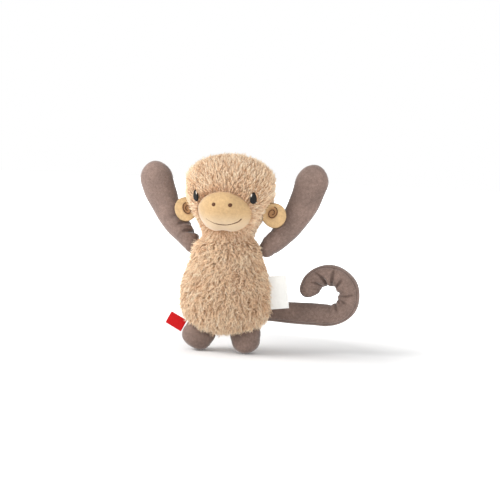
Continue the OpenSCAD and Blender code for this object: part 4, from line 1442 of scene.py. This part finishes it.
def add_tail(seed):
    """The tail's cloth is cut straighter than it lies, so its inner side gathers in the curl."""
    curl = TAIL_CURL_RADIUS * math.radians(TAIL_CURL_TURN)
    length = TAIL_RUN + curl

    def bent(share):
        def heading(s):
            a = share * TAIL_CURL_TURN * np.clip((s - TAIL_RUN) / curl, 0, 1)
            return np.stack([cosd(a), 0 * a, sind(a)], axis=-1)
        return heading

    def half_width(s):
        swell = ease(s / TAIL_RUN)
        return mix(TAIL_ROOT, TAIL_CURL_HALF, swell) * rounding(length - s, TAIL_ROOT, 2)

    def half_depth(s):
        return mix(TAIL_ROOT, TAIL_DEPTH_HALF, ease(s / TAIL_ROOT)) * rounding(length - s, TAIL_ROOT, 2)

    def growth(s):
        return mix(1.0, TAIL_CUT_LONGER, ease((s - TAIL_RUN) / TAIL_GROWTH_RUN))

    def held(s, a):
        outer_side = (np.minimum(a, 360 - a) < 3) & (s > TAIL_RUN)
        tip = ease((s - length + TAIL_TIP) / TAIL_TIP_RUN)
        return np.where((s < 0) | outer_side, 1.0, tip)

    pivot = JOINTS["tail_swing"]["pos_m"]
    limb, slack = (Limb(pivot, bent(share), (0, 1, 0), half_width, half_depth, TAIL_ROOT, length, TAIL_ROOT)
                   for share in (1, TAIL_CUT_BEND))
    add_limb("tail", limb, slack, growth, held, TAIL_GRID, TAIL_ROUNDS, seed, twist=-TAIL_SEAM_TURN,
             creases=lambda s, a: tail_creases(s, a, curl))


# Labels

RIBBON = 0.35 * MM
# Length of a ribbon's end that is caught in the seam
RIBBON_CAUGHT = 2.5 * MM
# Width from the seam to the fold, height along the seam, and how far the ribbon bows backwards
SIDE_LABEL = (15 * MM, 32 * MM, 1.2 * MM)
HIP_LABEL = (15 * MM, 12.5 * MM, -0.8 * MM)


def add_label(node, size, middle, up, material):
    """A bare ribbon folded once at its outer end, both cut ends caught in a seam."""
    width, height, bow = size
    out = np.cross([0.0, 1.0, 0.0], up)
    fold = 1.5 * RIBBON
    run = np.linspace(-RIBBON_CAUGHT, width - fold, 26)
    bend = np.radians(np.linspace(90, -90, 11))[1:-1]
    flat_x = np.concatenate([run, width - fold + fold * np.cos(bend), run[::-1]])
    flat_y = np.concatenate([0 * run + fold, fold * np.sin(bend), 0 * run - fold])
    side_x = np.gradient(flat_y)
    side_y = -np.gradient(flat_x)
    step = np.hypot(side_x, side_y)
    v = np.linspace(-0.5, 0.5, 30)

    def ply(shift):
        x = flat_x + side_x / step * shift
        y = flat_y + side_y / step * shift
        grid_x = np.repeat(x[None, :], len(v), axis=0)
        grid_v = np.repeat(v[:, None] * height, len(x), axis=1)
        share = grid_x / width
        bowed = bow * np.sin(np.pi * (v[:, None] + 0.5)) * share + 0.5 * bow * share ** 2
        depth = y[None, :] + bowed
        place = middle + grid_x[..., None] * out + grid_v[..., None] * up
        return place + depth[..., None] * np.array([0.0, 1.0, 0.0])

    label = add_sheet(f"{node}_ribbon", ply(RIBBON / 2), ply(-RIBBON / 2), material)
    place_piece(label, node, node)


def add_labels():
    """The side label is centred on its hinge, and the hip label hangs down from its own."""
    side = JOINTS["side_label_flap"]
    add_label("side_label", SIDE_LABEL, np.array(side["pos_m"]), np.array(side["axis"]),
              WHITE_RIBBON)
    hip = JOINTS["hip_label_flap"]
    down = np.array(hip["axis"])
    add_label("hip_label", HIP_LABEL, np.array(hip["pos_m"]) + down * HIP_LABEL[1] / 2, down,
              RED_RIBBON)


# Fillings

# How deep a filling lies below the inside of its cover, and the depth and size of its lumps
PILE_SINK = 0.6 * MM
LIMB_SINK = 2.4 * MM
WAD_LUMP = 0.6 * MM
WAD_LUMP_SIZE = 9 * MM
WAD_SEED = 100


def add_filling(node, body, sink, seed):
    """A filling as a lumpy wad of fibre, sunk below the inside of its cover."""
    source = frame["nodes"][node]
    mesh = source.data.copy()
    wad = bmesh.new()
    wad.from_mesh(mesh)
    bmesh.ops.remove_doubles(wad, verts=wad.verts, dist=0.01 * MM)
    bmesh.ops.subdivide_edges(wad, edges=wad.edges, cuts=2, use_grid_fill=True)
    wad.normal_update()
    points = np.array([v.co for v in wad.verts])
    depths = sink + WAD_LUMP * lumps(points, WAD_LUMP_SIZE, seed)
    for vert, deep in zip(wad.verts, np.maximum(depths, 0)):
        vert.co -= vert.normal * deep
    bmesh.ops.triangulate(wad, faces=wad.faces)
    wad.to_mesh(mesh)
    wad.free()
    mesh.materials.clear()
    piece = add_smooth(node.replace("filling", "wadding"), mesh, WADDING)
    place_piece(piece, body, node)


def add_fillings():
    bodies = frame["record"]["behaviour"]["bodies"]
    for index, (body, nodes) in enumerate(sorted(bodies.items())):
        sink = PILE_SINK if body in ("torso", "head") else LIMB_SINK
        for node in nodes:
            if "filling" in node and node != "muzzle_filling":
                add_filling(node, body, sink, WAD_SEED + index)


# Studio

YAW = 12
ELEVATION = 4
ROLL = 2.5
LENS = 85
SENSOR = 36
FRAME_WIDTH = 0.482
VIEW_TARGET = np.array([22.0, 0.0, 101.0]) * MM + [NECK[0], NECK[1], 0]
# Distances from the part at which the floor starts and ends to run into the white surround
FLOOR_NEAR = 0.14
FLOOR_FAR = 0.45
FLOOR_RADIUS = 14
# Strength of the surround as a light, and place, size and power of the lamps
SURROUND = 0.75
LAMPS = {
    "key": ((-1.2, -0.7, 1.0), 1.2, 24),
    "fill": ((0.7, -1.2, 0.2), 1.0, 7),
}


def add_floor():
    """A pale paper floor that runs into the white surround a short way from the part."""
    n = Nodes("studio_floor")
    paper = n.noise(3.0, detail=2.0, rough=0.55)
    n.set(Base_Color=n.spread(paper, colour(246, 246, 246), colour(250, 250, 250)), Roughness=0.9)
    far = n.add("ShaderNodeVectorMath", {0: n.place()}, operation="LENGTH").outputs["Value"]
    glow = n.ramp(far, (FLOOR_NEAR, grey(0)), (FLOOR_FAR, grey(1)))
    n.set(Emission_Color=grey(1), Emission_Strength=glow)
    bpy.ops.mesh.primitive_circle_add(vertices=96, radius=FLOOR_RADIUS, fill_type="NGON")
    floor = bpy.context.object
    floor.name = "studio_floor"
    floor.data.materials.append(n.material)


def add_light(name, place, size, power):
    lamp = bpy.data.lights.new(name, "AREA")
    lamp.shape = "DISK"
    lamp.size = size
    lamp.energy = power
    obj = add_object(name, lamp)
    obj.location = place
    obj.rotation_euler = (Vector(VIEW_TARGET) - Vector(place)).to_track_quat("-Z", "Y").to_euler()


def add_studio():
    add_floor()
    world = bpy.data.worlds.new("studio")
    world.use_nodes = True
    nodes = world.node_tree.nodes
    background = nodes["Background"]
    background.inputs["Color"].default_value = (1, 1, 1, 1)
    seen = nodes.new("ShaderNodeLightPath").outputs["Is Camera Ray"]
    strength = nodes.new("ShaderNodeMapRange")
    strength.inputs["To Min"].default_value = SURROUND
    world.node_tree.links.new(seen, strength.inputs["Value"])
    world.node_tree.links.new(strength.outputs["Result"], background.inputs["Strength"])
    bpy.context.scene.world = world
    for name, settings in LAMPS.items():
        add_light(name, *settings)
    bpy.context.scene.view_settings.view_transform = "Standard"


def add_camera():
    data = bpy.data.cameras.new("camera")
    data.lens = LENS
    data.sensor_width = SENSOR
    camera = add_object("camera", data)
    distance = FRAME_WIDTH * LENS / SENSOR
    back = Vector((sind(YAW) * cosd(ELEVATION), -cosd(YAW) * cosd(ELEVATION), sind(ELEVATION)))
    camera.location = Vector(VIEW_TARGET) + back * distance
    turn = (-back).to_track_quat("-Z", "Y").to_matrix().to_4x4()
    camera.rotation_euler = (turn @ Matrix.Rotation(math.radians(ROLL), 4, "Z")).to_euler()
    bpy.context.scene.camera = camera


add_camera()
add_studio()
add_arm("left", seed=31)
add_arm("right", seed=32)
add_leg("left", seed=41)
add_leg("right", seed=42)
add_tail(seed=51)
add_body("front", FRONT, seed=11)
add_body("back", BACK, seed=12)
add_head("front", FRONT, seed=21)
add_head("back", BACK, seed=22)
add_face()
for ear_side in SIDES:
    add_ear(ear_side)
add_labels()
add_fillings()
